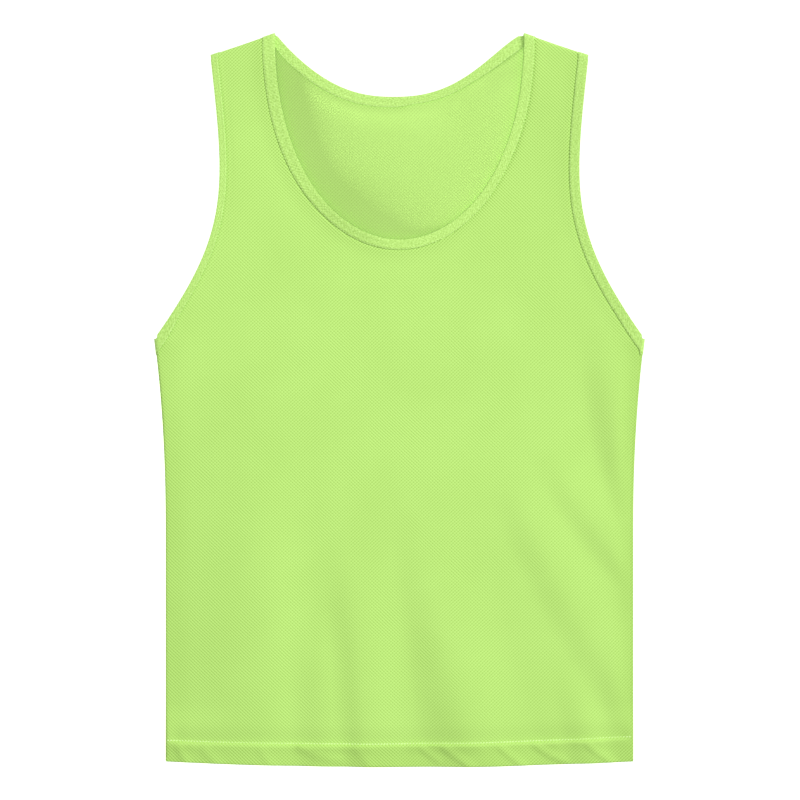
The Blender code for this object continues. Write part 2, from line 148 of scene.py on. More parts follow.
# %% Reaches along the edges
def unit(v):
    return v / np.linalg.norm(v, axis=-1, keepdims=True)


def inward_normals(line, inside, chord=7):
    """Unit normals on the side of inside, each square to a chord of the edge."""
    at = np.arange(len(line))
    ahead = line[np.minimum(at + chord, len(line) - 1)] - line[np.maximum(at - chord, 0)]
    normal = unit(np.stack([-ahead[:, 1], ahead[:, 0]], axis=1))
    flip = np.sum(normal * (np.array(inside) - line), axis=1) < 0
    normal[flip] *= -1
    return normal


ALONG_SHOULDER = unit(SHOULDER_END - NECK_POINT)
OUT_OF_SHOULDER = np.array([-ALONG_SHOULDER[1], ALONG_SHOULDER[0]])
OUT_OF_SIDE = np.array([1.0, 0.0])
REACH_BLEND = 45.0  # over this length a reach turns from the seam's direction to square


def edge_reaches(line, inside, first, last):
    """first and last are directions at the two ends, or None for square to the edge."""
    normals, along = inward_normals(line, inside), lengths_along(line)
    reaches = normals.copy()
    for direction, end, gone in ((first, 0, along), (last, -1, along[-1] - along)):
        if direction is not None:
            slant = direction / np.dot(direction, normals[end])
            share = np.clip(gone / REACH_BLEND, 0, 1)[:, None]
            reaches = slant * (1 - share) + reaches * share
    return reaches


IN_FRONT, IN_BACK = (HALF_SHOULDER * 3, -LENGTH), (60.0, -LENGTH)
SEAM_START = unit(SIDE[5] - SIDE[0])
ARM_REACH = edge_reaches(ARMHOLE, (0, 0), -ALONG_SHOULDER, SEAM_START)
FRONT_REACH = edge_reaches(FRONT_NECK, IN_FRONT, ALONG_SHOULDER, None)
BACK_REACH = edge_reaches(BACK_NECK, IN_BACK, ALONG_SHOULDER, None)
FRONT_REACH[-1] = BACK_REACH[-1] = (0, -1)
print("reaches:", np.round(FRONT_REACH[0], 2), "at the neck point,", np.round(ARM_REACH[-1], 2), "underarm")

# %% [markdown]
# ## How the cloth lies
# Seen from the side, the front is a low landscape. It lies on the turned edges of the bindings and hems,
# and further in it settles a few millimetres above the back. A seam pinches both panels together. The
# same rules shaped the solids, so the shells follow them.


# %% Distances and soft steps
def smooth(share):
    share = np.clip(share, 0, 1)
    return share * share * (3 - 2 * share)


def distance_to(line, points):
    """Distance from each point to an open line."""
    line, best = np.asarray(line), np.full(len(points), np.inf)
    for a, b in zip(line[:-1], line[1:]):
        ab = b - a
        t = np.clip(((points - a) @ ab) / (ab @ ab), 0, 1)
        best = np.minimum(best, np.linalg.norm(points - a - t[:, None] * ab, axis=1))
    return best


def near(distance, width, reach=STEP_REACH):
    """1 over a turned edge of this width, and softly down to 0 beyond it."""
    return smooth((width + STEP_CLEAR + reach - distance) / reach)


def coarse(line, every=7):
    """Every seventh point of an edge, which is enough to measure distances to."""
    return np.vstack([line[:-1:every], line[-1:]])


NECK_COARSE, BACK_COARSE, SIDE_COARSE = coarse(FRONT_NECK), coarse(BACK_NECK), coarse(SIDE)
ARM_COARSE = coarse(ARMHOLE)
SHOULDER_LINE = [NECK_POINT, SHOULDER_END]
PAST_UNDERARM = 45.0  # the armhole's line is drawn on this far, so that the step runs out to the side seam
LONG_ARMHOLE = np.vstack([ARM_COARSE, UNDERARM + unit(ARMHOLE[-1] - ARMHOLE[-8]) * PAST_UNDERARM])


def half_plan(points):
    """The points moved to the wearer's left half, where the edges are drawn."""
    return np.stack([np.abs(points[:, 0]), points[:, 1]], axis=1)


print("points to measure from:", len(NECK_COARSE), "of the neck,", len(ARM_COARSE), "of the armhole")

# %% [markdown]
# The back lies flat but for what its bindings lift. Near the edges the front's height is counted in layers
# of cloth, one on the other, and further in it is a soft loft. The back's neckline lies a little askew.


# %% Heights of the two panels
def back_under(points):
    """Height of the back's underside: flat, but for what its bindings lift."""
    p = half_plan(points)
    return LAYER * near(np.minimum(distance_to(BACK_COARSE, p), distance_to(LONG_ARMHOLE, p)), BINDING)


def front_rise(points):
    """How far the front stands above its lowest place, without folds."""
    p = half_plan(points)
    to_neck, to_arm = distance_to(NECK_COARSE, p), distance_to(LONG_ARMHOLE, p)
    to_shoulder = distance_to(SHOULDER_LINE, p)
    to_side = distance_to(SIDE_COARSE, p)
    level = BINDING + STEP_CLEAR
    past_neck, past_arm = np.maximum(to_neck - level, 0.01), np.maximum(to_arm - level, 0.01)
    neck_stack = LAYER + 2 * LAYER * near(to_shoulder, 2 * BINDING, 4 * STEP_REACH)
    stack = (neck_stack * past_arm + 3 * LAYER * past_neck) / (past_neck + past_arm)
    away = smooth((np.minimum(to_neck, to_arm) - 2 * BINDING) / SETTLE)
    return stack * (1 - away) + LOFT * smooth(to_side / LOFT_REACH) * away


def askew(points):
    """The points moved as the back's neckline lies: off the middle, but fixed at the neck points."""
    moved = points.copy()
    off = np.maximum(0, 1 - (points[..., 0] / HALF_NECK) ** 10) * smooth((points[..., 1] - 200) / 70)
    moved[..., 0] -= BACK_ASKEW * off
    return moved


middle_line = np.array([(0.0, -300.0), (0.0, 0.0), (0.0, 100.0)])
print("the front rises", np.round(front_rise(middle_line), 1), "mm at the hem, the middle and the chest")

# %% [markdown]
# ## The soft folds
# A flat-laid knit keeps long soft ridges where it was last creased. Here five run up from the hem, and
# three more fan out towards the wearer's left side seam. Each row of the table is one ridge: where it
# starts, bends and ends, how wide its steep flank (towards the wearer's right) and its gentle flank are,
# how many times wider the steep flank is at the end, its height, and over what length it grows to that
# height. No two are alike.


# %% Fold table
def bent_line(start, bend, end):
    a, b, c = (np.array(point, float) for point in (start, bend, end))
    t = np.linspace(0, 1, 13)[:, None]
    return a * (1 - t) ** 2 + 2 * b * t * (1 - t) + c * t**2


def ridge(start, bend, end, steep, gentle, height, fade, spread=1.0):
    line = bent_line(start, bend, end)
    return {"line": line, "steep": steep, "gentle": gentle, "height": height, "fade": fade, "spread": spread}


FOLDS = (
    ridge((-128, -40), (-120, -190), (-130, -350), steep=100, gentle=48, height=2.7, fade=180),
    ridge((-76, -190), (-72, -260), (-70, -350), steep=30, gentle=28, height=1.9, fade=80),
    ridge((-46, -110), (-40, -215), (-27, -350), steep=28, gentle=50, height=3.0, fade=140),
    ridge((12, -80), (31, -215), (80, -350), steep=24, gentle=62, height=5.2, fade=250, spread=2.2),
    ridge((158, -240), (168, -290), (182, -350), steep=24, gentle=24, height=2.0, fade=60),
    ridge((96, -50), (144, -182), (240, -312), steep=29, gentle=50, height=2.3, fade=100, spread=1.1),
    ridge((136, -30), (166, -118), (240, -176), steep=24, gentle=40, height=2.5, fade=80),
    ridge((192, 78), (189, -30), (234, -125), steep=27, gentle=34, height=3.4, fade=90),
)
SIDE_FADE = 22.0  # the folds die out over this much beside the side seams and armholes


def fold_heights(folds, points):
    """What the ridges add to the height at each point."""
    total = np.zeros(len(points))
    for fold in folds:
        line = fold["line"]
        away, along, west = np.full(len(points), np.inf), np.zeros(len(points)), np.zeros(len(points), bool)
        for i, (a, b) in enumerate(zip(line[:-1], line[1:])):
            ab, here = b - a, points - a
            share = np.clip(here @ ab / (ab @ ab), 0, 1)
            far = np.linalg.norm(here - share[:, None] * ab, axis=1)
            closer = far < away
            away = np.where(closer, far, away)
            along = np.where(closer, (i + share) / (len(line) - 1), along)
            west = np.where(closer, ab[0] * here[:, 1] - ab[1] * here[:, 0] < 0, west)
        width = np.where(west, fold["steep"] * (1 + (fold["spread"] - 1) * along), fold["gentle"])
        grown = smooth(along * np.linalg.norm(line[-1] - line[0]) / fold["fade"])
        total += fold["height"] * grown * 0.5 * (1 + np.cos(math.pi * np.minimum(away / width, 1)))
    return total


def to_edges(points):
    """Distance to the side seams and armholes."""
    p = half_plan(points)
    return np.minimum(distance_to(SIDE_COARSE, p), distance_to(ARM_COARSE, p))


def front_base(points):
    """The front's upper face, as the solid has it."""
    at_hem = near(points[:, 1] - hem_y(points[:, 0]), HEM, 2 * STEP_REACH)
    rise = front_rise(points) * (1 - at_hem) + 2 * LAYER * at_hem
    ridges = smooth(to_edges(points) / SIDE_FADE) * fold_heights(FOLDS, points)
    return LAYER + WALL + rise + ridges


print(len(FOLDS), "soft folds, up to", max(fold["height"] for fold in FOLDS), "mm high")

# %% [markdown]
# ## The fine relief
# Close up, sewing shows in the cloth itself. The hem dips along its stitches, rolls up in a welt below them
# and puckers unevenly. The back has a few shallow creases of its own. Each pucker and crease is a small
# ridge, listed like the folds. These small forms are added to the shells only.

# %% Hem, puckers and creases
HEM_LINE, LINE_DRIFT = HEM + 0.4, 1.7  # the stitches' height above the edge, and how far they drift
HEM_VALLEY, VALLEY_RISE, HEM_WELT, WELT_RISE = 1.25, 17.0, 1.0, 2.2
HEM_ROLLS = ((-206, 15), (-60, 32), (20, 8), (47, 26), (134, 9), (174, 10))  # middles and half-lengths
PUCKERS = (
    ridge((-208, -316), (-204, -326), (-196, -338), steep=3.5, gentle=8, height=0.9, fade=9),
    ridge((-186, -318), (-180, -328), (-168, -338), steep=3.5, gentle=10, height=0.7, fade=9),
    ridge((-132, -318), (-128, -328), (-118, -340), steep=3.5, gentle=9, height=0.5, fade=9),
    ridge((-96, -318), (-84, -330), (-56, -334), steep=3.5, gentle=8, height=0.9, fade=9),
    ridge((-44, -318), (-38, -328), (-27, -340), steep=3.5, gentle=9, height=0.5, fade=9),
    ridge((16, -319), (24, -327), (34, -333), steep=3.0, gentle=7, height=0.7, fade=7),
    ridge((36, -318), (47, -328), (66, -340), steep=3.5, gentle=9, height=0.9, fade=9),
    ridge((88, -318), (98, -327), (114, -339), steep=3.5, gentle=8, height=0.8, fade=9),
    ridge((122, -318), (134, -328), (150, -334), steep=3.0, gentle=8, height=1.0, fade=8),
    ridge((170, -317), (180, -326), (198, -337), steep=3.5, gentle=8, height=0.9, fade=9),
)
BACK_CREASES = (
    ridge((-130, 60), (-128, -120), (-150, -350), steep=34, gentle=26, height=0.5, fade=90),
    ridge((40, -20), (30, -160), (52, -350), steep=24, gentle=30, height=0.6, fade=110),
    ridge((120, 110), (150, -10), (236, -90), steep=18, gentle=26, height=0.45, fade=70),
    ridge((-60, 160), (-90, 60), (-200, -20), steep=22, gentle=20, height=0.4, fade=80),
    ridge((68, 286), (92, 296), (122, 301), steep=11, gentle=12, height=0.22, fade=20),
)
CREASE_FADE = 30.0  # the creases die out over this much, as the folds do


def back_face(points):
    """The back's underside with a few shallow creases, which lift it a little off the surface."""
    creases = smooth(to_edges(points) / CREASE_FADE) * fold_heights(BACK_CREASES, points)
    return back_under(points) + creases


def hem_line_y(x):
    """Height of the hem's row of stitches, which drifts up a little towards the wearer's left."""
    return hem_y(x) + HEM_LINE + LINE_DRIFT * x / HALF_HEM


def hem_roll(x):
    """How strongly the hem rolls up under its stitches along it, from 0 to 1."""
    return np.max([smooth((half + 7 - np.abs(x - middle)) / 7) for middle, half in HEM_ROLLS], axis=0)


def hem_relief(points):
    """A valley along the stitches, the welt that rolls up below them, and the puckers."""
    over = points[:, 1] - hem_line_y(points[:, 0])
    valley = HEM_VALLEY * np.where(over > 0, 1 - smooth(over / VALLEY_RISE), 1 - smooth(-over / WELT_RISE))
    rolled = 0.5 + 0.5 * hem_roll(points[:, 0])
    welt = HEM_WELT * rolled * smooth(-over / WELT_RISE) * (1 - smooth((-over - 2.5) / 8))
    return welt + fold_heights(PUCKERS, points) * smooth((4 - over) / 8) - valley


print(len(PUCKERS), "puckers of the hem,", len(BACK_CREASES), "creases of the back")

# %% [markdown]
# The strips were guided by hand as they were sewn on, so they lie wider here and narrower there, and the
# front's stand up a little at their fold. Widths round the front's neck are a short table: from the
# wearer's right to the left, how wide the strip lies at which x.

# %% How the strips lie
NECK_WIDTHS = ((-112, 11.8), (-52, 9.6), (0, 9.6), (60, 8.8), (96, 8.8), (112, 10.0))
RIGHT_ARM_WIDTH, LEFT_ARM_WIDTH = 6.8, 9.5
BACK_LEFT_NARROWER = 2.2
NECK_LIFT, RIGHT_LIFT, LOW_LIFT = 0.5, 0.8, 1.1  # all round the neck, more on its right, more at its foot
RIGHT_ARM_LIFT, LEFT_ARM_LIFT = 0.6, 1.0


def stepped(x, stations):
    """A value that goes softly from each station to the next. A station is a place and its value."""
    value = stations[0][1]
    for (a, low), (b, high) in zip(stations, stations[1:]):
        value = value + (high - low) * smooth((x - a) / (b - a))
    return value


def at_neck(points):
    """Whether each point is nearer to the neck than to an armhole."""
    p = half_plan(points)
    return distance_to(NECK_COARSE, p) < distance_to(ARM_COARSE, p)


def to_seams(points):
    """Distance to the shoulder and side seams."""
    p = half_plan(points)
    return np.minimum(distance_to(SHOULDER_LINE, p), distance_to(SIDE_COARSE, p))


def strip_width(points):
    """How wide the front's bindings lie at points along them, and all 10 mm under the arms."""
    x = points[:, 0]
    round_arm = np.where(x < 0, RIGHT_ARM_WIDTH, LEFT_ARM_WIDTH)
    wide = np.where(at_neck(points), stepped(x, NECK_WIDTHS), round_arm)
    to_underarm = distance_to([UNDERARM, UNDERARM - (0, 9)], half_plan(points))
    return BINDING + (wide - BINDING) * smooth((to_underarm - 12) / 30)


def back_strip_width(points):
    """The neck's binding lies narrower on the back's left half."""
    from_shoulder = distance_to(SHOULDER_LINE, half_plan(points))
    return BINDING - BACK_LEFT_NARROWER * smooth(points[:, 0] / 20) * smooth((from_shoulder - 30) / 35)


def strip_lift(points):
    """A strip stands up a little towards its fold, most at the foot of the wearer's right half."""
    p, x, y = half_plan(points), points[:, 0], points[:, 1]
    round_neck = NECK_LIFT + RIGHT_LIFT * smooth(-x / 40)
    round_neck = round_neck + LOW_LIFT * smooth((200 - y) / 30) * smooth((-4 - x) / 30)
    height = np.where(at_neck(points), round_neck, np.where(x > 0, LEFT_ARM_LIFT, RIGHT_ARM_LIFT))
    to_edge = np.minimum(distance_to(NECK_COARSE, p), distance_to(ARM_COARSE, p))
    share = np.clip(1 - to_edge / strip_width(points), 0, 1)
    return height * share * smooth((to_seams(points) - 3) / 30)


def front_edge(points):
    """The height that the front's bindings follow."""
    return front_base(points) + strip_lift(points)


def beyond_strips(points):
    """Distance from each point to the inner edge of the nearest binding of the front."""
    p = half_plan(points)
    return np.minimum(distance_to(NECK_COARSE, p), distance_to(LONG_ARMHOLE, p)) - strip_width(points)


print("the neck's strip, right half:", np.round(strip_width(FRONT_NECK * (-1, 1))[::60], 1), "mm wide")

# %% [markdown]
# Beside each binding the panel swells a little, with a groove where the stitches pull it down. Together
# with the hem's relief and slow unevenness, that makes the front's upper face.

# %% The front's face
GROOVE, SWELL, SWELL_RISE, SWELL_FALL, RIGHT_ARM_FALL = 0.1, 0.6, 1.4, 11.0, 3.0
WAVES = ((0.2, 60.0, 3.1), (0.05, 18.0, 7.7))  # height and length of the unevenness, and its seed


def slow_waves(points, size, seed):
    """Smooth unevenness between -1 and 1, over about size millimetres."""
    return np.array([noise.noise(Vector((x / size, y / size, seed))) for x, y in points])


def sewn_relief(points, beyond):
    """The groove and the swell beside the strips. The swell is weaker along both arms."""
    by_arm, right = ~at_neck(points), points[:, 0] < 0
    groove = GROOVE * np.exp(-(((beyond - 0.4) / 0.6) ** 2)) * (beyond > -0.6)
    swell = SWELL * np.where(by_arm & ~right, 0.6, 1.0) * smooth((beyond + 0.4) / SWELL_RISE)
    falls = 1 - smooth((beyond - 1.0) / SWELL_FALL)
    falls_fast = 0.5 - 0.5 * smooth((beyond - 1.0) / RIGHT_ARM_FALL)
    return swell * np.where(by_arm & right, falls_fast, falls) - groove


def front_top(points):
    """The front's upper face with its fine relief."""
    beyond = beyond_strips(points)
    free, settled = smooth(to_seams(points) / 8), smooth(to_edges(points) / 12)
    waves = sum(height * slow_waves(points, size, seed) for height, size, seed in WAVES)
    relief = hem_relief(points) + waves * smooth((beyond - 2) / 20)
    return front_edge(points) + free * sewn_relief(points, beyond) + settled * relief


print("the front's face:", np.round(front_top(middle_line), 1), "mm up at hem, middle and chest")

# %% [markdown]
# ## From cut to shell
# A panel is laid out as a flat plan first: its outline, rows of points that follow the bound edges and the
# hem, where the relief is finest, and an even grid between them. The plan is filled with triangles, every
# point is lifted to its height, and a second surface below makes it a shell. The rest of the panel is
# rolled from its border rows: the side and shoulder seams curl down to meet the other panel, and the hem
# turns under.


# %% A shell of two faces
class Shell:
    """Cloth as pairs of points, one on each face, and the faces between them."""

    def __init__(self):
        self.outer, self.inner, self.flat, self.faces, self.count = [], [], [], [], 0

    def add(self, outer, inner, flat):
        self.outer.append(np.asarray(outer, float))
        self.inner.append(np.asarray(inner, float))
        self.flat.append(np.asarray(flat, float))
        self.count += len(outer)
        return list(range(self.count - len(outer), self.count))

    def strip(self, row, next_row):
        """Four-sided faces between two rows of points."""
        self.faces += [(a, b, c, d) for a, b, c, d in zip(row, row[1:], next_row[1:], next_row)]

    def make(self, name):
        """Closes the shell: both faces, and a rim wherever an edge has only one face."""
        uses = {}
        for face in self.faces:
            for a, b in zip(face, face[1:] + face[:1]):
                uses.setdefault(frozenset((a, b)), []).append((a, b))
        n = self.count
        faces = self.faces + [tuple(i + n for i in reversed(f)) for f in self.faces]
        faces += [(b, a, a + n, b + n) for (a, b), *more in uses.values() if not more]
        points = np.vstack(self.outer + self.inner)
        return mesh_piece(name, points, faces, np.vstack(self.flat + self.flat))


def mesh_piece(name, points, faces, flat):
    """A smooth mesh in metres, with its flat cut in the UV map, as a new object."""
    mesh = bpy.data.meshes.new(name)
    mesh.from_pydata((points * MM).tolist(), [], faces)
    layer = mesh.uv_layers.new(name="cut")
    corners = np.empty(len(mesh.loops), dtype=np.int32)
    mesh.loops.foreach_get("vertex_index", corners)
    layer.data.foreach_set("uv", (flat[corners] * MM).astype(np.float32).ravel())
    shape = bmesh.new()
    shape.from_mesh(mesh)
    bmesh.ops.recalc_face_normals(shape, faces=shape.faces)
    shape.to_mesh(mesh)
    shape.free()
    mesh.shade_smooth()
    mesh.set_sharp_from_angle(angle=math.radians(50))
    piece = bpy.data.objects.new(name, mesh)
    bpy.context.scene.collection.objects.link(piece)
    print(name, len(mesh.polygons), "faces")
    return piece


# %% [markdown]
# The plan stops one layer inside the bound edges, where the binding folds round them. Its points are
# closest where the relief is finest. Sorting them into square cells finds near ones fast, so that no two
# lie too close to each other.

# %% The plan of a panel
CORNER = 0.5  # the hem runs out to this near the side, so that its corners are sharp
CLOSEST, LOOSE = 0.9, 0.6  # the least distance in the fine rows, and in the grid as a share of its step
COLUMN_STEP, SEAM_STEP = 2.4, 3.0  # between points along the hem and the shoulder


def mirrored(points):
    return points * (-1, 1)


def half_outline(neck, reaches):
    """The panel's edges for x > 0: side, armhole, shoulder, neck."""
    side = SIDE[::-1] - (SEAM_ROUND, 0)
    side[:2, 0] = HALF_HEM - CORNER, HALF_HEM - 0.6 * SEAM_ROUND
    side[0, 1] = hem_y(side[0, 0]) + HEM_FOLD
    arm = (ARMHOLE + ARM_REACH * LAYER)[::-1]
    inner_neck = neck + reaches * LAYER
    neck_start = NECK_POINT - OUT_OF_SHOULDER * SEAM_ROUND
    shoulder_start = SHOULDER_END - OUT_OF_SHOULDER * SEAM_ROUND
    inner_neck = np.vstack([neck_start + reaches[0] * LAYER, inner_neck[2:]])
    arm = np.vstack([arm[:-2], shoulder_start + ARM_REACH[0] * LAYER])
    arm[0] = side[-1] = UNDERARM - OUT_OF_SIDE * SEAM_ROUND + ARM_REACH[-1] * LAYER
    side = side[[i for i in range(len(side)) if i == len(side) - 1 or side[i, 1] < side[-1, 1] - 1.5]]
    shoulder = evenly(np.array([arm[-1], inner_neck[0]]), SEAM_STEP)
    return side, arm, shoulder, inner_neck


def cell_of(x, y, size):
    return math.floor(x / size), math.floor(y / size)


def in_cells(points, size):
    """The points, listed by the square cell that each lies in."""
    cells = {}
    for x, y in points:
        cells.setdefault(cell_of(x, y, size), []).append((x, y))
    return cells


def spread(points, taken, apart):
    """The points that keep apart from those taken, and from each other."""
    kept = []
    for x, y in points:
        cell = cell_of(x, y, apart)
        around = (taken.get((cell[0] + i, cell[1] + j), ()) for i in (-1, 0, 1) for j in (-1, 0, 1))
        if all((x - a) ** 2 + (y - b) ** 2 > apart**2 for found in around for a, b in found):
            taken.setdefault(cell, []).append((x, y))
            kept.append((x, y))
    return kept


def inside_outline(outline, points):
    """Whether each point lies inside, by counting the edges that a line from it to one side crosses."""
    a, b = outline, np.roll(outline, -1, axis=0)
    crossings = np.zeros(len(points), int)
    for (ax, ay), (bx, by) in zip(a, b):
        if ay != by:
            spans = (ay > points[:, 1]) != (by > points[:, 1])
            crossings += spans & (points[:, 0] < ax + (points[:, 1] - ay) * (bx - ax) / (by - ay))
    return crossings % 2 == 1


EDGE_ROWS = (5.0, 6.8, 7.4, 8.0, 8.8, 9.5, 10.2, 10.9, 11.6, 12.4, 13.6, 15.5, 18.5)
HEM_ROWS = (2.5, 5.5, 9.0, 12.5, 16.0, 18.5, 19.5, 20.3, 21.0, 21.6, 22.2, 22.8, 23.6, 24.6, 26.5, 29.0)


def plan_points(outline, edges, columns, grid):
    """Inner points of a panel: rows along its edges, its hem, then an even grid. Also how many are rows."""
    rows = [line + reaches * depth for depth in EDGE_ROWS for line, reaches in edges]
    xs = np.array(columns[1:-1])
    rows += [np.stack([xs, hem_y(xs) + rise], axis=1) for rise in HEM_ROWS]
    across = np.arange(-HALF_CHEST, HALF_CHEST, grid)
    up = np.arange(-LENGTH / 2 + HEM + 11, TOP, grid)
    rows.append(np.array([(x + (j % 2) * grid / 2, y) for j, y in enumerate(up) for x in across]))
    points = np.vstack(rows)
    return points[inside_outline(outline, points)], sum(len(row) for row in rows[:-1])


print(len(EDGE_ROWS), "rows of points along each bound edge and", len(HEM_ROWS), "along the hem")

# %% [markdown]
# The border rows are rolled with two small helpers. A seam curls through a quarter turn down to the height
# where the two panels meet. A hem makes a half turn and then runs back up inside the bib for its width.


# %% Rolled borders
TURNED_ROWS = (4.0, 9.0, 14.0, 18.0, 21.5)  # of the hem's turned part, up inside the bib


def seam_middle(points):
    """Height of a seam, half way between the outer faces of the two panels."""
    return (front_base(points) + back_under(points)) / 2


def round_seam(shell, row, out, up, bulge=SEAM_ROUND, steps=6):
    """Curls a sewn edge towards the other panel. up is 1 on the front and -1 on the back."""
    every = np.vstack(shell.outer)[row]
    bulge = np.broadcast_to(bulge, len(row))[:, None]
    flat = np.vstack(shell.flat)[row]
    middle = seam_middle(every[:, :2])
    full = np.abs(every[:, 2] - middle)
    last = row
    for k in range(1, steps + 1):
        angle = math.pi / 2 * k / steps
        pair = []
        for shrink in (0.0, CLOTH):
            reach = np.maximum(bulge - shrink, 0.05) * math.sin(angle)
            rise = np.maximum((full - shrink) * math.cos(angle), 0.12)
            at = every[:, :2] + np.array(out) * reach
            pair.append(np.column_stack([at, middle + up * rise]))
        fresh = shell.add(*pair, flat + np.array(out) * bulge * angle)
        shell.strip(last, fresh)
        last = fresh


def turn_hem(shell, row, columns, top, base, up, steps=8):
    """Turns the hem under and lays it back up inside."""
    xs = np.array(columns)
    edge = np.stack([xs, hem_y(xs) + HEM_FOLD], axis=1)
    high, low = top(edge), base(edge) - up * 2 * HEM_FOLD
    middle, half = (high + low) / 2, np.abs(high - low) / 2
    last = row
    for k in range(1, steps + 1):
        angle = math.pi * k / steps
        pair = []
        for shrink in (0.0, CLOTH):
            y = edge[:, 1] - (HEM_FOLD - shrink) * math.sin(angle)
            pair.append(np.column_stack([xs, y, middle + up * (half - shrink) * math.cos(angle)]))
        fresh = shell.add(*pair, np.column_stack([xs, edge[:, 1] - HEM_FOLD * angle]))
        shell.strip(last, fresh)
        last = fresh
    for rise in TURNED_ROWS:
        at = np.stack([xs, hem_y(xs) + rise], axis=1)
        z = base(at) - up * 2 * HEM_FOLD
        cut = np.column_stack([xs, edge[:, 1] - HEM_FOLD * math.pi - rise])
        fresh = shell.add(np.column_stack([at, z]), np.column_stack([at, z + up * CLOTH]), cut)
        shell.strip(last, fresh)
        last = fresh


print("a hem turns in", TURNED_ROWS[-1], "mm")

# %% [markdown]
# With these helpers a panel is made in one go: its plan is filled with triangles, lifted, and rolled at
# its borders. It is drawn for both halves at once, and only the back is then moved askew.


# %% A whole panel
def panel(name, neck, reaches, top, base, up, grid):
    """A whole panel. top gives its outer face, base the same without the fine relief."""
    side, arm, shoulder, inner_neck = half_outline(neck, reaches)
    reach = HALF_HEM - CORNER
    columns = list(np.linspace(-reach, reach, round(2 * reach / COLUMN_STEP) + 1))
    hem = np.array([(x, hem_y(x) + HEM_FOLD) for x in columns])
    right = np.vstack([side[1:], arm[1:], shoulder[1:], inner_neck[1:]])
    outline = np.vstack([hem, right, mirrored(right[:-1])[::-1]])
    edges = [(ARMHOLE, ARM_REACH), (neck, reaches)]
    edges += [(mirrored(line), mirrored(reach)) for line, reach in edges]
    points, fine = plan_points(outline, edges, columns, grid)
    inner = spread(points[:fine], in_cells(outline, CLOSEST), CLOSEST)
    taken = in_cells([*map(tuple, outline), *inner], LOOSE * grid)
    inner += spread(points[fine:], taken, LOOSE * grid)
    every = [Vector(p) for p in outline] + [Vector(p) for p in inner]
    flat, _, triangles, origins, _, _ = delaunay_2d_cdt(every, [], [list(range(len(outline)))], 1, 1e-5)
    plan = np.array([tuple(p) for p in flat])
    z = top(plan)
    shell = Shell()
    shell.add(np.column_stack([plan, z]), np.column_stack([plan, z - up * CLOTH]), plan)
    shell.faces = [tuple(f) for f in triangles]
    at = {old: new for new, olds in enumerate(origins) for old in olds}
    count, first = len(outline), len(hem) - 1
    arm_start = first + len(side) - 1
    shoulder_start = arm_start + len(arm) - 1
    shoulder_end = shoulder_start + len(shoulder) - 1
    turn_hem(shell, [at[i] for i in range(len(hem))], columns, top, base, up)
    for sign in (1, -1):
        own = [at[i] if sign > 0 else at[(first + count - i) % count] for i in range(count)]
        seam = plan[own[first : arm_start + 1]]
        bulge = np.clip(side_x(seam[:, 1]) - np.abs(seam[:, 0]), 0.1, SEAM_ROUND)
        round_seam(shell, own[first : arm_start + 1], (sign, 0.0), up, bulge)
        round_seam(shell, own[shoulder_start : shoulder_end + 1], OUT_OF_SHOULDER * (sign, 1), up)
    if up < 0:
        shell.outer, shell.inner = [askew(p) for p in shell.outer], [askew(p) for p in shell.inner]
    return shell.make(name)


# %% [markdown]
# ## The two panels
# Front and back are cut alike but for the neck, which is deep in front and shallow behind. The back lies
# flat on the surface with only a few shallow creases, so it needs fewer points.


# %% Make the panels
front_cloth = panel("front_cloth", FRONT_NECK, FRONT_REACH, front_top, front_base, 1, 4.0)
back_cloth = panel("back_cloth", BACK_NECK, BACK_REACH, back_face, back_under, -1, 7.0)

# %% [markdown]
# Beside each binding the finish darkens the knit's holes. This is painted shade, where the cloth beside a
# strip lies in shadow. How near each point of the cloth lies to a strip is kept with the mesh, for the finish
# to read.


# %% Mark the cloth beside the strips
RIGHT_ARM_SHADE_OFFSET, BACK_LEFT_SHADE_OFFSET = 5, 6  # how much further off a strip counts where the painted shade is weaker


def mark_strip_shade(piece, beyond, reach):
    """Keeps with each point a mark of 1 at a strip, which fades over about reach millimetres, for the painted
    shade.
    """
    mesh = piece.data
    places = np.empty(len(mesh.vertices) * 3)
    mesh.vertices.foreach_get("co", places)
    beside = np.exp(-np.maximum(beyond(places.reshape(-1, 3)[:, :2] / MM), 0) / reach)
    mesh.attributes.new("strip_shade", "FLOAT", "POINT").data.foreach_set("value", beside.astype(np.float32))
    print(piece.name, "points beside a strip:", int(np.sum(beside > 0.5)))


def beyond_shaded_strips(points):
    """Distance from the front's strips, but for the one round the wearer's right arm, where the painted shade
    is weaker.
    """
    right_arm = (points[:, 0] < 0) & ~at_neck(points)
    return beyond_strips(points) + RIGHT_ARM_SHADE_OFFSET * right_arm


def beyond_back_strip(points):
    """The same for the back, where the painted shade is weaker on the wearer's left."""
    shade_offset = BACK_LEFT_SHADE_OFFSET * smooth(points[:, 0] / 20)
    return distance_to(BACK_COARSE, half_plan(points)) - back_strip_width(points) + shade_offset


mark_strip_shade(front_cloth, beyond_shaded_strips, 3.5)
mark_strip_shade(back_cloth, beyond_back_strip, 2.0)

# %% [markdown]
# ## The folded strips
# A binding is a strip of the same knit, folded lengthwise, slipped over the raw edge and sewn through all
# its layers. In section it is a U with a rounded nose, and its face rolls down a little at the fold, has a
# low crown near the inner edge and dips where the stitches bite. The section is carried round the whole
# edge. At a shoulder or a side seam it turns over with the seam.

# %% Section of a strip
STITCH_DEPTH, CROWN, BITE, SUNK = 9.15, 0.35, 0.08, 0.42
FOLD_ROLL = (0.16, 0.24, 0.12, 0.03)  # how far the face rolls down at the fold, from the leg round the nose
LEG_DEPTHS = (9.95, 9.6, 9.15, 8.6, 8.05, 7.4, 6.4, 5.2, 4.0, 2.9, 2.0)
NOSE_REACH, LEG_FACE, LEG_BACK = 0.5, WALL * 1.5 + GAP, WALL * 0.5 + GAP + 0.05
SEAM_FOLD = SEAM_ROUND - WALL / 2


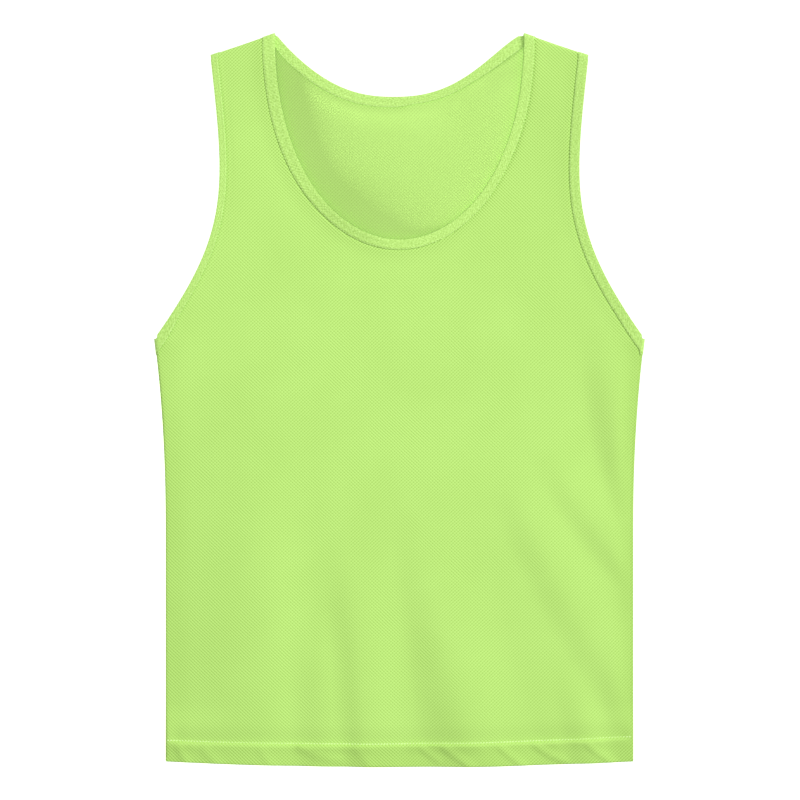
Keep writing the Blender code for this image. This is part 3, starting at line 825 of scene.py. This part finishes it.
def leg_relief(depth):
    """Height of the leg's face over a plain one: crowned, bitten at the stitches, rolled at its edge."""
    crown = CROWN * np.exp(-(((depth - 8.3) / np.where(depth < 8.3, 1.6, 1.2)) ** 2))
    sunk = SUNK * np.clip((depth - 1.5) / 7.5, 0, 1) + FOLD_ROLL[0] * (1 - smooth((depth - 1.2) / 2.6))
    bite = BITE * np.exp(-(((depth - STITCH_DEPTH) / 0.5) ** 2))
    return crown - sunk - bite - 0.1 * smooth((depth - 9.6) / 0.35)


def strip_profile():
    """Rows of depth and rise, and the relief of the outer and of the inner leg, once round the U.

    Also the rows of the fold's tip, the outer leg's stitches and the inner leg's.
    """
    legs = np.array(LEG_DEPTHS)
    turn = np.linspace(0, math.pi, 9)[1:-1]
    nose = np.stack([NOSE_REACH * (1 - np.sin(turn)), LEG_FACE * np.cos(turn)], axis=1)
    face = [(10.0, LEG_BACK + 0.15)] + [(d, LEG_FACE) for d in legs]
    back = [(9.8, LEG_BACK), (8.6, LEG_BACK), (5.0, LEG_BACK), (1.9, LEG_BACK), (1.15, LEG_BACK * 0.7)]
    upper, lower = np.array(face), np.array(face[::-1]) * (1, -1)
    inside = np.vstack([np.array(back) * (1, -1), [(0.95, 0)], np.array(back[::-1])])
    rows = np.vstack([upper, nose, lower, inside])
    relief = np.zeros((len(rows), 2))
    relief[1 : len(upper), 0] = leg_relief(legs)
    start = len(upper) + len(nose)
    relief[len(upper) : len(upper) + 3, 0] = [-roll for roll in FOLD_ROLL[1:]]
    relief[start - 3 : start, 1] = FOLD_ROLL[:0:-1]
    relief[start : start + len(lower) - 1, 1] = -leg_relief(legs[::-1])
    stitch = LEG_DEPTHS.index(STITCH_DEPTH)
    return rows, relief, len(upper) + len(nose) // 2, 1 + stitch, start + len(legs) - 1 - stitch


PROFILE, RELIEF, FOLD_TIP, OUTER_STITCH, INNER_STITCH = strip_profile()
print("strip section:", len(PROFILE), "points")

# %% [markdown]
# Each stretch of a strip is worked out as a block of sections: along an edge on the front, over a seam,
# along the same edge on the back, and so on round the ring. The face that shows has the crown, and the
# face that lies on the surface is pressed flat.


# %% Stretches of a strip
def along_edge(line, reaches, height, up, outer=0.0, inner=0.0, widths=BINDING):
    """Sections at each point of an edge. outer and inner are the shares of relief of the two legs."""
    wider = np.reshape(widths, (-1, 1, 1)) / BINDING
    at = line[:, None] + reaches[:, None] * PROFILE[None, :, 0, None] * wider
    middle = height(at.reshape(-1, 2)).reshape(at.shape[:2]) - up * WALL / 2
    rise = PROFILE[:, 1] + RELIEF[:, 0] * outer + RELIEF[:, 1] * inner
    return np.concatenate([at, (middle + up * rise)[..., None]], axis=2)


def over_seam(end, out, reaches, width=BINDING, steps=12):
    """Sections that carry a strip over a seam, from the front, where it lies width wide, to the back."""
    start = end - out * SEAM_ROUND
    middle = seam_middle(start[None])[0]
    made = []
    for k in range(steps + 1):
        angle, share = math.pi * k / steps, k / steps
        reach = reaches[0] * (1 - share) + reaches[1] * share
        tight = 1 - np.where(np.abs(PROFILE[:, 1]) > LEG_BACK + 0.2, 0.45, 0.3) * math.sin(angle)
        radius = SEAM_FOLD + (PROFILE[:, 1] + RELIEF[:, 0] * smooth(1 - 2 * share)) * tight
        wider = share + (1 - share) * width / BINDING
        at = start + reach * PROFILE[:, :1] * wider + out * (radius * math.sin(angle))[:, None]
        made.append(np.column_stack([at, middle + radius * math.cos(angle)]))
    return np.array(made)


def strip_ring(name, sections, sign, join=0):
    """A closed strip through all its sections, with its own length and width as its UV map.

    join moves the place where the strip's ends meet by so many sections.
    """
    sections = np.roll(np.array(sections) * (sign, 1, 1), join, axis=0)
    count, size = sections.shape[:2]
    fold = sections[:, FOLD_TIP]
    along, across = lengths_along(fold), lengths_along(PROFILE)
    faces = []
    for s in range(count):
        here, there = s * size, (s + 1) % count * size
        faces += [(here + i, here + (i + 1) % size, there + (i + 1) % size, there + i) for i in range(size)]
    flat = np.stack(np.meshgrid(along, across, indexing="ij"), axis=2).reshape(-1, 2)
    piece = mesh_piece(name, sections.reshape(-1, 3), faces, flat)
    length = along[-1] + np.linalg.norm(fold[0] - fold[-1])
    width = across[-1] + np.linalg.norm(PROFILE[0] - PROFILE[-1])
    close_uv(piece, count, size, length * MM, width * MM)
    print(name, "is a strip", round(length), "mm long at its fold")
    return piece, sections, length


def close_uv(piece, count, size, length, width):
    """Lets the UV map run on over the faces that close the ring and the section."""
    mesh = piece.data
    corners = np.empty(len(mesh.loops), dtype=np.int32)
    mesh.loops.foreach_get("vertex_index", corners)
    corners = corners.reshape(-1, 4)
    uv = np.empty(len(mesh.loops) * 2, dtype=np.float32)
    mesh.uv_layers["cut"].data.foreach_get("uv", uv)
    uv = uv.reshape(-1, 4, 2)
    station, row = corners // size, corners % size
    uv[..., 0] += length * ((station == 0) & (station.max(axis=1, keepdims=True) == count - 1))
    uv[..., 1] += width * ((row == 0) & (row.max(axis=1, keepdims=True) == size - 1))
    mesh.uv_layers["cut"].data.foreach_set("uv", uv.ravel())


# %% [markdown]
# ## The three bindings
# The neck is one ring through front and back. Inside the neck opening the back binding lies face up, so
# its inner leg has the relief there. Under the front strap it is pressed flat again. Each strip is made
# from its own side of the bib, because the folds and the strips' widths differ between left and right.


# %% Make the bindings
def edge_on(side):
    """The height that a strip follows on one side of the bib, for points given on the wearer's left."""
    return lambda points: front_edge(points * (side, 1))


arm_back = along_edge(ARMHOLE, ARM_REACH, back_under, -1)
arm_under = over_seam(UNDERARM, OUT_OF_SIDE, (ARM_REACH[-1], ARM_REACH[-1]))
arm_rings = []
for side in (1, -1):
    widths, height = strip_width(ARMHOLE * (side, 1)), edge_on(side)
    arm_front = along_edge(ARMHOLE, ARM_REACH, height, 1, outer=1.0, widths=widths)
    arm_over = over_seam(SHOULDER_END, OUT_OF_SHOULDER, (ARM_REACH[0], ARM_REACH[0]), widths[0])
    arm_rings.append(np.vstack([arm_front[2:-2][::-1], arm_over, arm_back[2:-2], arm_under[::-1]]))

left_arm_strip, left_arm_sections, arm_length = strip_ring("left_arm_strip", arm_rings[0], 1)
right_arm_strip, right_arm_sections, _ = strip_ring("right_arm_strip", arm_rings[1], -1)

open_air = smooth((distance_to(SHOULDER_LINE, BACK_NECK) - 24) / 25)  # 1 inside the neck opening
BACK_CROWN = {1: 0.4, -1: 1.0}  # the back's strip lies flatter on the wearer's left, which is side 1
neck_halves = []
for side in (1, -1):
    widths, height = strip_width(FRONT_NECK * (side, 1)), edge_on(side)
    neck_front = along_edge(FRONT_NECK, FRONT_REACH, height, 1, outer=1.0, widths=widths)
    neck_over = over_seam(NECK_POINT, OUT_OF_SHOULDER, (FRONT_REACH[0], BACK_REACH[0]), widths[0])
    widths = back_strip_width(BACK_NECK * (side, 1))
    crowned = open_air[:, None] * BACK_CROWN[side]
    neck_back = along_edge(BACK_NECK, BACK_REACH, back_under, -1, inner=crowned, widths=widths)
    behind = askew(neck_back[2:] * (side, 1, 1))
    neck_halves.append(np.vstack([np.vstack([neck_front[2:][::-1], neck_over]) * (side, 1, 1), behind]))
neck_ring = np.vstack([neck_halves[0], neck_halves[1][::-1][1:-1]])
ENDS_MEET = len(neck_front) + 20  # a section on the back, a little past the wearer's left shoulder
neck_strip, neck_sections, neck_length = strip_ring("neck_strip", neck_ring, 1, join=-ENDS_MEET)

# %% [markdown]
# ## Stitches
# Every binding is closed by one row of lockstitch near its inner edge, which shows on both faces. The hem
# has one row too, about 21 mm above its fold, on the front and on the back, whose stitches lean a little.
# One stitch is modelled once as a short thread with sunken ends, and a row is made of its copies.

# %% One stitch
bpy.ops.object.select_all(action="DESELECT")
bpy.ops.mesh.primitive_uv_sphere_add(segments=6, ring_count=6, radius=1.0, location=(0, 0, 0))
stitch = bpy.context.object
stitch.name = "stitch_pattern"
bpy.ops.transform.rotate(value=math.pi / 2, orient_axis="Y", center_override=(0, 0, 0))
bpy.ops.object.transform_apply(location=False, rotation=True, scale=False)
bpy.ops.transform.resize(value=(1.05, 0.24, 0.2))  # half its length, width and thickness
bpy.ops.object.transform_apply(location=False, rotation=False, scale=True)
STITCH_POINTS = np.array([v.co[:] for v in stitch.data.vertices])
STITCH_POINTS[:, 2] -= 0.16 * STITCH_POINTS[:, 0] ** 2  # the ends bend down into the cloth
STITCH_FACES = [tuple(f.vertices) for f in stitch.data.polygons]
bpy.data.objects.remove(stitch)
print("one stitch:", len(STITCH_FACES), "faces")

# %% [markdown]
# A row of stitches needs a place, a direction along the row and a direction out of the cloth for each
# stitch. Along a strip they are read from one line of its sections, and along the hem from its height. A
# round number of stitches fills each ring, so that the row closes without a gap.

# %% Rows of stitches
STRIP_PITCH, HEM_PITCH = 2.8, 2.7
SUNK_IN_STRIP, OVER_FRONT, OVER_BACK = 0.05, 0.08, -0.12
HEM_LEAN, HEM_THICK = 0.45, 2.7
CUT_PITCH = 3.7  # between two stitches in the UV map


def sewn_row(places, along, normals, lean=0.0, thick=1.0):
    """Copies of the stitch at places, turned along the row and standing out along normals.

    lean turns each stitch out of the row, in radians, and thick makes it wider than the pattern.
    """
    normals = unit(normals)
    along = unit(along - normals * np.sum(along * normals, axis=1, keepdims=True))
    side = np.cross(normals, along)
    c, s = math.cos(lean), math.sin(lean)
    ahead, across = along * c + side * s, side * c - along * s
    p = STITCH_POINTS
    return (
        places[:, None]
        + ahead[:, None] * p[None, :, :1]
        + across[:, None] * p[None, :, 1:2] * thick
        + normals[:, None] * p[None, :, 2:]
    )


def stitch_piece(name, rows):
    points = np.vstack(rows)
    count, size = points.shape[:2]
    faces = [tuple(i + n * size for i in face) for n in range(count) for face in STITCH_FACES]
    apart = np.repeat(np.arange(count), size)[:, None] * CUT_PITCH
    flat = np.tile(STITCH_POINTS[:, :2], (count, 1)) + apart
    return mesh_piece(name, points.reshape(-1, 3), faces, flat)


def once_round(rows):
    """The rows of a ring, with the first again at the end."""
    return np.vstack([rows, rows[:1]])


def on_strip(sections, column):
    """A row of stitches along one column of a strip's sections."""
    line = once_round(sections[:, column])
    far = lengths_along(line)
    at = np.arange(0, far[-1] - STRIP_PITCH / 2, far[-1] / round(far[-1] / STRIP_PITCH))

    def read(values):
        return np.stack([np.interp(at, far, values[:, i]) for i in range(3)], axis=1)

    places, along = read(line), read(np.gradient(line, axis=0))
    across = read(once_round(sections[:, column + 1] - sections[:, column - 1]))
    normals = unit(np.cross(along, across))
    other_leg = INNER_STITCH if column == OUTER_STITCH else OUTER_STITCH
    outward = read(once_round(sections[:, column] - sections[:, other_leg]))
    normals[np.sum(normals * outward, axis=1) < 0] *= -1
    return sewn_row(places - normals * SUNK_IN_STRIP, along, normals)


stitch_rows = {}
for name, sections in (
    ("neck_stitches", neck_sections),
    ("left_arm_stitches", left_arm_sections),
    ("right_arm_stitches", right_arm_sections),
):
    rows = [on_strip(sections, column) for column in (OUTER_STITCH, INNER_STITCH)]
    stitch_rows[name] = stitch_piece(name, rows)

hem_x = np.arange(-HALF_HEM + 2.4, HALF_HEM - 2.2, HEM_PITCH)
hem_line = np.stack([hem_x, hem_line_y(hem_x)], axis=1)
for name, height, up, above in (("front", front_top, 1, OVER_FRONT), ("back", back_face, -1, OVER_BACK)):
    hem_along = np.column_stack([np.gradient(hem_line, axis=0), np.gradient(height(hem_line))])
    hem_out = np.cross(hem_along, np.tile((0.0, -1.0, 0.0), (len(hem_x), 1)))
    hem_out *= np.sign(hem_out[:, 2:]) * up
    places = np.column_stack([hem_line, height(hem_line) + up * above])
    row = sewn_row(places, hem_along, hem_out, HEM_LEAN, HEM_THICK)
    stitch_rows[name] = stitch_piece(name + "_hem_stitches", [row])

# %% [markdown]
# ## Knit and thread
# A finish is a sum of patterns: waves, noise and soft steps, which are one kind of node each. A small
# class adds the nodes and joins them up, so that each finish below reads as a list of sums. It works on the
# flat cut, in metres. A dyed cloth is a richer colour where it is darker, so the red and blue channels
# fall faster than the green one.

# %% Shader helpers
LIME = (0.470, 0.755, 0.180, 1.0)
RED_POWER, BLUE_POWER = 1.2, 1.9


class Shading:
    """Adds nodes to a material and joins them up, so a finish reads as a list of sums."""

    def __init__(self, name, roughness, sheen):
        self.material = bpy.data.materials.new(name)
        self.material.use_nodes = True
        self.tree = self.material.node_tree
        self.shader = self.tree.nodes["Principled BSDF"]
        self.shader.inputs["Roughness"].default_value = roughness
        self.shader.inputs["Sheen Weight"].default_value = sheen
        self.shader.inputs["Sheen Roughness"].default_value = 0.5
        self.shader.inputs["Specular IOR Level"].default_value = 0.3

    def node(self, kind, settings=(), **inputs):
        made = self.tree.nodes.new(kind)
        for key, value in dict(settings).items():
            setattr(made, key, value)
        for key, value in inputs.items():
            socket = made.inputs[int(key[1:])] if key[1:].isdigit() else made.inputs[key.replace("_", " ")]
            if isinstance(value, bpy.types.NodeSocket):
                self.tree.links.new(value, socket)
            else:
                socket.default_value = value
        return made

    def math(self, operation, a, b=0.0, c=0.0):
        """One sum. MULTIPLY_ADD is a * b + c."""
        return self.node("ShaderNodeMath", {"operation": operation}, _0=a, _1=b, _2=c).outputs[0]

    def cut(self):
        """Across and along, in metres on the flat cut."""
        flat = self.node("ShaderNodeUVMap", {"uv_map": "cut"}).outputs[0]
        split = self.node("ShaderNodeSeparateXYZ", _0=flat)
        return flat, split.outputs[0], split.outputs[1]

    def noise(self, vector, size, detail=2.0):
        """Uneven values around 0.5, over about size metres."""
        made = self.node("ShaderNodeTexNoise", Vector=vector, Scale=1.0 / size, Detail=detail, Roughness=0.5)
        return made.outputs[0]

    def span(self, value, low, high, to_low, to_high):
        """Goes softly from to_low to to_high as the value goes from low to high."""
        settings = {"interpolation_type": "SMOOTHSTEP"}
        made = self.node("ShaderNodeMapRange", settings, Value=value, From_Min=low, From_Max=high)
        made.inputs["To Min"].default_value, made.inputs["To Max"].default_value = to_low, to_high
        return made.outputs[0]

    def paint(self, colour, brightness):
        """The colour times a brightness, into the shader."""
        red, blue = self.math("POWER", brightness, RED_POWER), self.math("POWER", brightness, BLUE_POWER)
        shade = self.node("ShaderNodeCombineXYZ", _0=red, _1=brightness, _2=blue).outputs[0]
        mixed = self.node("ShaderNodeVectorMath", {"operation": "MULTIPLY"}, _0=shade, _1=colour[:3])
        self.tree.links.new(mixed.outputs[0], self.shader.inputs["Base Color"])

    def bump(self, height, distance, strength=1.0):
        made = self.node("ShaderNodeBump", Height=height, Distance=distance, Strength=strength)
        self.tree.links.new(made.outputs[0], self.shader.inputs["Normal"])


print("the cloth's colour:", LIME[:3])

# %% [markdown]
# The cloth is a fine warp knit: knots in staggered rows about 3 mm apart, with a small hole between each
# four. Two crossing waves on the flat cut give that lattice, so it follows the cloth over every seam. The
# waves' strengths drift slowly, as the light picks out one diagonal or the other on the real cloth. The
# holes open up on the straps and in the hem, where the knit is stretched. Beside the strips they are
# darker too, which is painted shade where the cloth beside a strip lies in shadow.

# %% The knit
KNOTS_ACROSS, KNOTS_ALONG = 313.5, 329.7  # cycles of the lattice per metre
STRAY = 0.0012  # metres by which the rows wander


def knit_material(name, colour, depth=0.2, holes=0.18, straps=1.0, grain=(0.0011, 0.08), more=None):
    """A knit. depth is that of the relief in millimetres, holes and straps are how dark the holes are.

    grain is the size and strength of the yarn's speckle, and more is a function for further shades.
    """
    made = Shading(name, roughness=0.72, sheen=0.12)
    flat, across, along = made.cut()
    drift = made.noise(flat, 0.045)
    across = made.math("MULTIPLY_ADD", made.math("SUBTRACT", drift, 0.5), STRAY, across)
    along = made.math("MULTIPLY_ADD", made.math("SUBTRACT", made.noise(flat, 0.031), 0.5), STRAY, along)
    u = made.math("MULTIPLY", across, 2 * math.pi * KNOTS_ACROSS)
    v = made.math("MULTIPLY", along, 2 * math.pi * KNOTS_ALONG)
    rising = made.math("SINE", made.math("ADD", u, v))
    falling = made.math("SINE", made.math("SUBTRACT", v, u))
    corner = made.math("MULTIPLY", across, made.math("SUBTRACT", along, 0.1))
    tilt = made.math("MULTIPLY_ADD", corner, 4.0, made.noise(flat, 0.06, detail=1.0))
    lean = made.span(tilt, 0.3, 0.7, 0.32, 0.68)
    other_way = made.math("MULTIPLY", falling, made.math("SUBTRACT", 1.0, lean))
    both = made.math("MULTIPLY_ADD", rising, lean, other_way)
    level = made.math("MULTIPLY_ADD", both, 0.5, 0.5)
    yarn = made.noise(flat, grain[0], detail=1.0)
    up_the_straps = made.span(along, 0.08, 0.30, 1.0, straps)
    in_hem = made.span(along, -0.321, -0.317, 0.4, 0.0)
    # painted shade: the holes darken near a strip, where the cloth beside it lies in shadow
    beside = made.node("ShaderNodeAttribute", {"attribute_name": "strip_shade"}).outputs["Fac"]
    open_knit = made.span(level, 0.10, 0.62, holes, 0.0)
    open_knit = made.math("MULTIPLY", open_knit, made.math("ADD", up_the_straps, in_hem))
    open_knit = made.math("MULTIPLY", open_knit, made.math("ADD", beside, 1.0))
    hole = made.math("SUBTRACT", 1.0, open_knit)
    cloudy = made.span(made.noise(flat, 0.09), 0.3, 0.7, 0.985, 1.015)
    speckle = made.math("MULTIPLY_ADD", yarn, grain[1], 1.0 - grain[1] / 2)
    tone = made.math("MULTIPLY", made.math("MULTIPLY", hole, cloudy), speckle)
    made.paint(colour, made.math("MULTIPLY", tone, more(made)) if more else tone)
    made.bump(made.math("MULTIPLY_ADD", yarn, 0.25, level), depth * MM)
    return made.material


# %% [markdown]
# Where the cloth lies double it lets less light through and looks deeper: over the hem's turned part, and
# along the side seams. The finish darkens both further as painted shade, where the hem band and the body's
# sides fall away from the light, and a narrow rim at the side fold on the wearer's left is painted shade
# alone. The strips have no such shade, but the needle leaves dark pricks beside their stitches. All are
# worked out from the same sizes as the cut.


# %% Double cloth, painted shade, and the three knits
def doubled_cloth_and_shade(made):
    """Darker cloth over the hem's turned part and along the side seams: double cloth, and painted shade."""
    _, across, along = made.cut()
    out = made.math("DIVIDE", across, HALF_HEM * MM)
    edge = made.math("MULTIPLY_ADD", made.math("MULTIPLY", out, out), HEM_DROOP * MM, -LENGTH / 2 * MM)
    above = made.math("SUBTRACT", made.math("SUBTRACT", along, edge), made.math("MULTIPLY", out, 0.0017))
    # partly painted shade: the hem band is darker, most in its middle, as double cloth falling away from the
    # light
    in_hem = made.span(made.math("ABSOLUTE", out), 0.35, 0.65, 0.048, 0.025)
    in_hem = made.math("MULTIPLY", in_hem, made.span(above, 0.0204, 0.0215, 1.0, 0.0))
    in_hem = made.math("SUBTRACT", 1.0, in_hem)
    down = made.math("DIVIDE", made.math("SUBTRACT", (TOP - ARMHOLE_DEPTH) * MM, along), SIDE_SHAPING * MM)
    left = made.math("SUBTRACT", 1.0, made.node("ShaderNodeClamp", Value=down).outputs[0])
    curve = made.math("POWER", left, 2.2)
    side = made.math("MULTIPLY_ADD", curve, (HALF_CHEST - HALF_HEM) * MM, HALF_HEM * MM)
    from_side = made.math("SUBTRACT", side, made.math("ABSOLUTE", across))
    # partly painted shade: darker within 30 mm of the side seams, as double cloth and sides falling away from
    # the light
    beside = made.span(from_side, 0.0, 0.030, 0.06, 0.0)
    # painted shade: a narrow dark rim at the side fold, on the wearer's left only
    at_rim = made.span(from_side, 0.0012, 0.0032, 1.0, 0.0)
    rim = made.math("MULTIPLY", at_rim, made.span(across, -0.01, 0.01, 0.0, 0.11))
    below_arm = made.span(along, 0.050, 0.058, 1.0, 0.0)
    side_shade = made.math("MULTIPLY", made.math("ADD", beside, rim), below_arm)
    return made.math("MULTIPLY", in_hem, made.math("SUBTRACT", 1.0, side_shade))


def needle_holes(made):
    """Dark pricks beside the stitches of a strip's outer leg."""
    _, along, across = made.cut()
    turns = made.math("MULTIPLY", along, 2 * math.pi / (STRIP_PITCH * MM))
    pricks = made.span(made.math("SINE", turns), 0.0, 0.9, 0.0, 1.0)
    row = lengths_along(PROFILE)[OUTER_STITCH] - 0.8
    off = made.math("ABSOLUTE", made.math("SUBTRACT", across, row * MM))
    near_row = made.span(off, 0.0005, 0.0012, 1.0, 0.0)
    return made.math("SUBTRACT", 1.0, made.math("MULTIPLY", made.math("MULTIPLY", pricks, near_row), 0.24))


front_knit = knit_material("mesh_knit", LIME, holes=0.20, straps=1.2, more=doubled_cloth_and_shade)
back_knit = knit_material("mesh_knit_back", LIME, depth=0.1, holes=0.17, more=doubled_cloth_and_shade)
STRIP_LIME, STRIP_GRAIN = tuple(channel * 0.94 for channel in LIME), (0.0016, 0.8)
strip_knit = knit_material("binding_knit", STRIP_LIME, 0.14, 0.06, grain=STRIP_GRAIN, more=needle_holes)
for knit in (front_knit, back_knit, strip_knit):
    print(knit.name, len(knit.node_tree.nodes), "nodes")

# %% [markdown]
# The thread is a paler lime than the cloth, and its plies are twisted. One slanting wave along the stitch
# gives both the shade and the relief of the twist.

# %% The thread
THREAD_LIME, TWIST = (0.70, 0.96, 0.40), 9000.0  # the twist is in radians per metre
thread = Shading("thread", roughness=0.5, sheen=0.05)
_, twist_across, twist_along = thread.cut()
slant = thread.math("MULTIPLY_ADD", twist_across, TWIST, thread.math("MULTIPLY", twist_along, TWIST))
twist = thread.math("SINE", slant)
thread.paint(THREAD_LIME, thread.math("MULTIPLY_ADD", twist, 0.10, 0.92))
thread.bump(twist, 0.05 * MM)
print("thread", len(thread.tree.nodes), "nodes")

# %% [markdown]
# ## Put together
# Each shell stands for its solid, whose part it hides, rides on the frame's one body and takes its
# finish. The area of each panel's flat cut is measured from its UV map.


# %% Dress the pieces
def cut_area(piece):
    """Area of the piece's flat cut in square metres, from its UV map, one face of the cloth only."""
    mesh = piece.data
    flat = np.empty(len(mesh.loops) * 2)
    mesh.uv_layers["cut"].data.foreach_get("uv", flat)
    flat, total = flat.reshape(-1, 2), 0.0
    for face in mesh.polygons:
        corners = flat[face.loop_start : face.loop_start + face.loop_total]
        x, y = corners[:, 0], corners[:, 1]
        total += abs(np.dot(x, np.roll(y, -1)) - np.dot(y, np.roll(x, -1))) / 2
    return total / 2


def dress(piece, material, node=None):
    """Gives a piece its finish and the frame's one body, and hides the solid that it stands for."""
    piece.data.materials.clear()
    piece.data.materials.append(material)
    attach(piece, "root")
    if node:
        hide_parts(node)


dress(front_cloth, front_knit, "front_panel")
dress(back_cloth, back_knit, "back_panel")
dress(neck_strip, strip_knit, "neck_binding")
dress(left_arm_strip, strip_knit, "left_armhole_binding")
dress(right_arm_strip, strip_knit, "right_armhole_binding")
for piece in stitch_rows.values():
    dress(piece, thread.material)

for piece, rests_on, sewn in (
    (front_cloth, ["back_cloth"], ["front_hem_stitches"]),
    (back_cloth, [], ["back_hem_stitches"]),
):
    area = cut_area(piece)
    print(piece.name, "flat cut", round(area, 4), "square metres")

# %% [markdown]
# ## The picture
# The bib is seen from straight above, with its neck up, by a long lens, in an even white surround. On the
# front the key comes from the upper right and shows the folds and seams, and a soft globe hangs over the
# chest. The inside of the back has a low lamp from the lower left and a fill from above, and the neck's
# strip a weak one of its own. Each lamp names the pieces that it lights, which is called light linking.
# The floor is plain and pale, with a lamp of its own.

# %% Floor, light and camera
bpy.ops.object.select_all(action="DESELECT")
bpy.ops.mesh.primitive_plane_add(size=12, location=(0, 0, -0.0006))
floor = bpy.context.object
floor.name = "floor"
paper = bpy.data.materials.new("paper")
paper.use_nodes = True
paper_shader = paper.node_tree.nodes["Principled BSDF"]
paper_shader.inputs["Base Color"].default_value = (0.95, 0.95, 0.95, 1)
paper_shader.inputs["Roughness"].default_value = 1.0
paper_shader.inputs["Specular IOR Level"].default_value = 0.0
floor.data.materials.append(paper)

WHITE_LEVEL = 1.24  # light on a level white surface, shared out between the surround and the lamps
SURROUND, OVERHEAD, KEY, LOW, FILL, NECK_FILL, FLOOR = 0.27, 0.30, 0.43, 0.19, 0.24, 0.04, 0.85
world = bpy.context.scene.world or bpy.data.worlds.new("surround")
bpy.context.scene.world = world
world.use_nodes = True
surround = world.node_tree.nodes["Background"]
surround.inputs["Color"].default_value = (1, 1, 1, 1)
surround.inputs["Strength"].default_value = WHITE_LEVEL * SURROUND


def add_lamp(name, light, lights):
    """Puts a lamp in the scene. lights names the pieces that it lights, or None for all of them."""
    lamp = bpy.data.objects.new(name, light)
    bpy.context.scene.collection.objects.link(lamp)
    if lights:
        lamp.light_linking.receiver_collection = bpy.data.collections.new(name + " lights")
        for piece in lights:
            lamp.light_linking.receiver_collection.objects.link(piece)
    return lamp


def far_lamp(name, share, height, direction, softness, lights=None):
    """A distant soft lamp. height, direction (from +X towards +Y) and softness are in degrees."""
    light = bpy.data.lights.new(name, "SUN")
    light.energy = WHITE_LEVEL * share * math.pi / math.sin(math.radians(height))
    light.angle = math.radians(softness)
    add_lamp(name, light, lights).rotation_euler = (0, math.radians(90 - height), math.radians(direction))
    print(name, "from", direction, "degrees,", height, "high")


def near_lamp(name, share, place, radius, lights=None):
    """A soft globe above the bib, whose light falls off towards the edges."""
    light = bpy.data.lights.new(name, "POINT")
    light.energy = WHITE_LEVEL * share * 4 * math.pi**2 * place[2] ** 2
    light.shadow_soft_size = radius
    add_lamp(name, light, lights).location = place
    print(name, "at", place)


front_pieces = [front_cloth, neck_strip, left_arm_strip, right_arm_strip, *stitch_rows.values()]
near_lamp("overhead", OVERHEAD, (0.05, 0.14, 1.1), 0.35, [*front_pieces, back_cloth])
far_lamp("key", KEY, 43, 40, 30, front_pieces)
far_lamp("low", LOW, 5.5, 207, 14, [back_cloth])
far_lamp("fill", FILL, 90, 0, 8, [back_cloth])
far_lamp("neck fill", NECK_FILL, 90, 0, 20, [neck_strip])
far_lamp("floor light", FLOOR, 90, 0, 2, [floor])

CAMERA_HEIGHT, FIELD = 2.4, 0.7406  # metres
camera_data = bpy.data.cameras.new("camera")
camera_data.lens = camera_data.sensor_width * CAMERA_HEIGHT / FIELD
camera = bpy.data.objects.new("camera", camera_data)
camera.location = (0.0005, -0.00035, CAMERA_HEIGHT)
bpy.context.scene.collection.objects.link(camera)
bpy.context.scene.camera = camera
bpy.context.scene.view_settings.view_transform = "Standard"
print("camera", CAMERA_HEIGHT, "m up,", round(camera_data.lens), "mm lens")
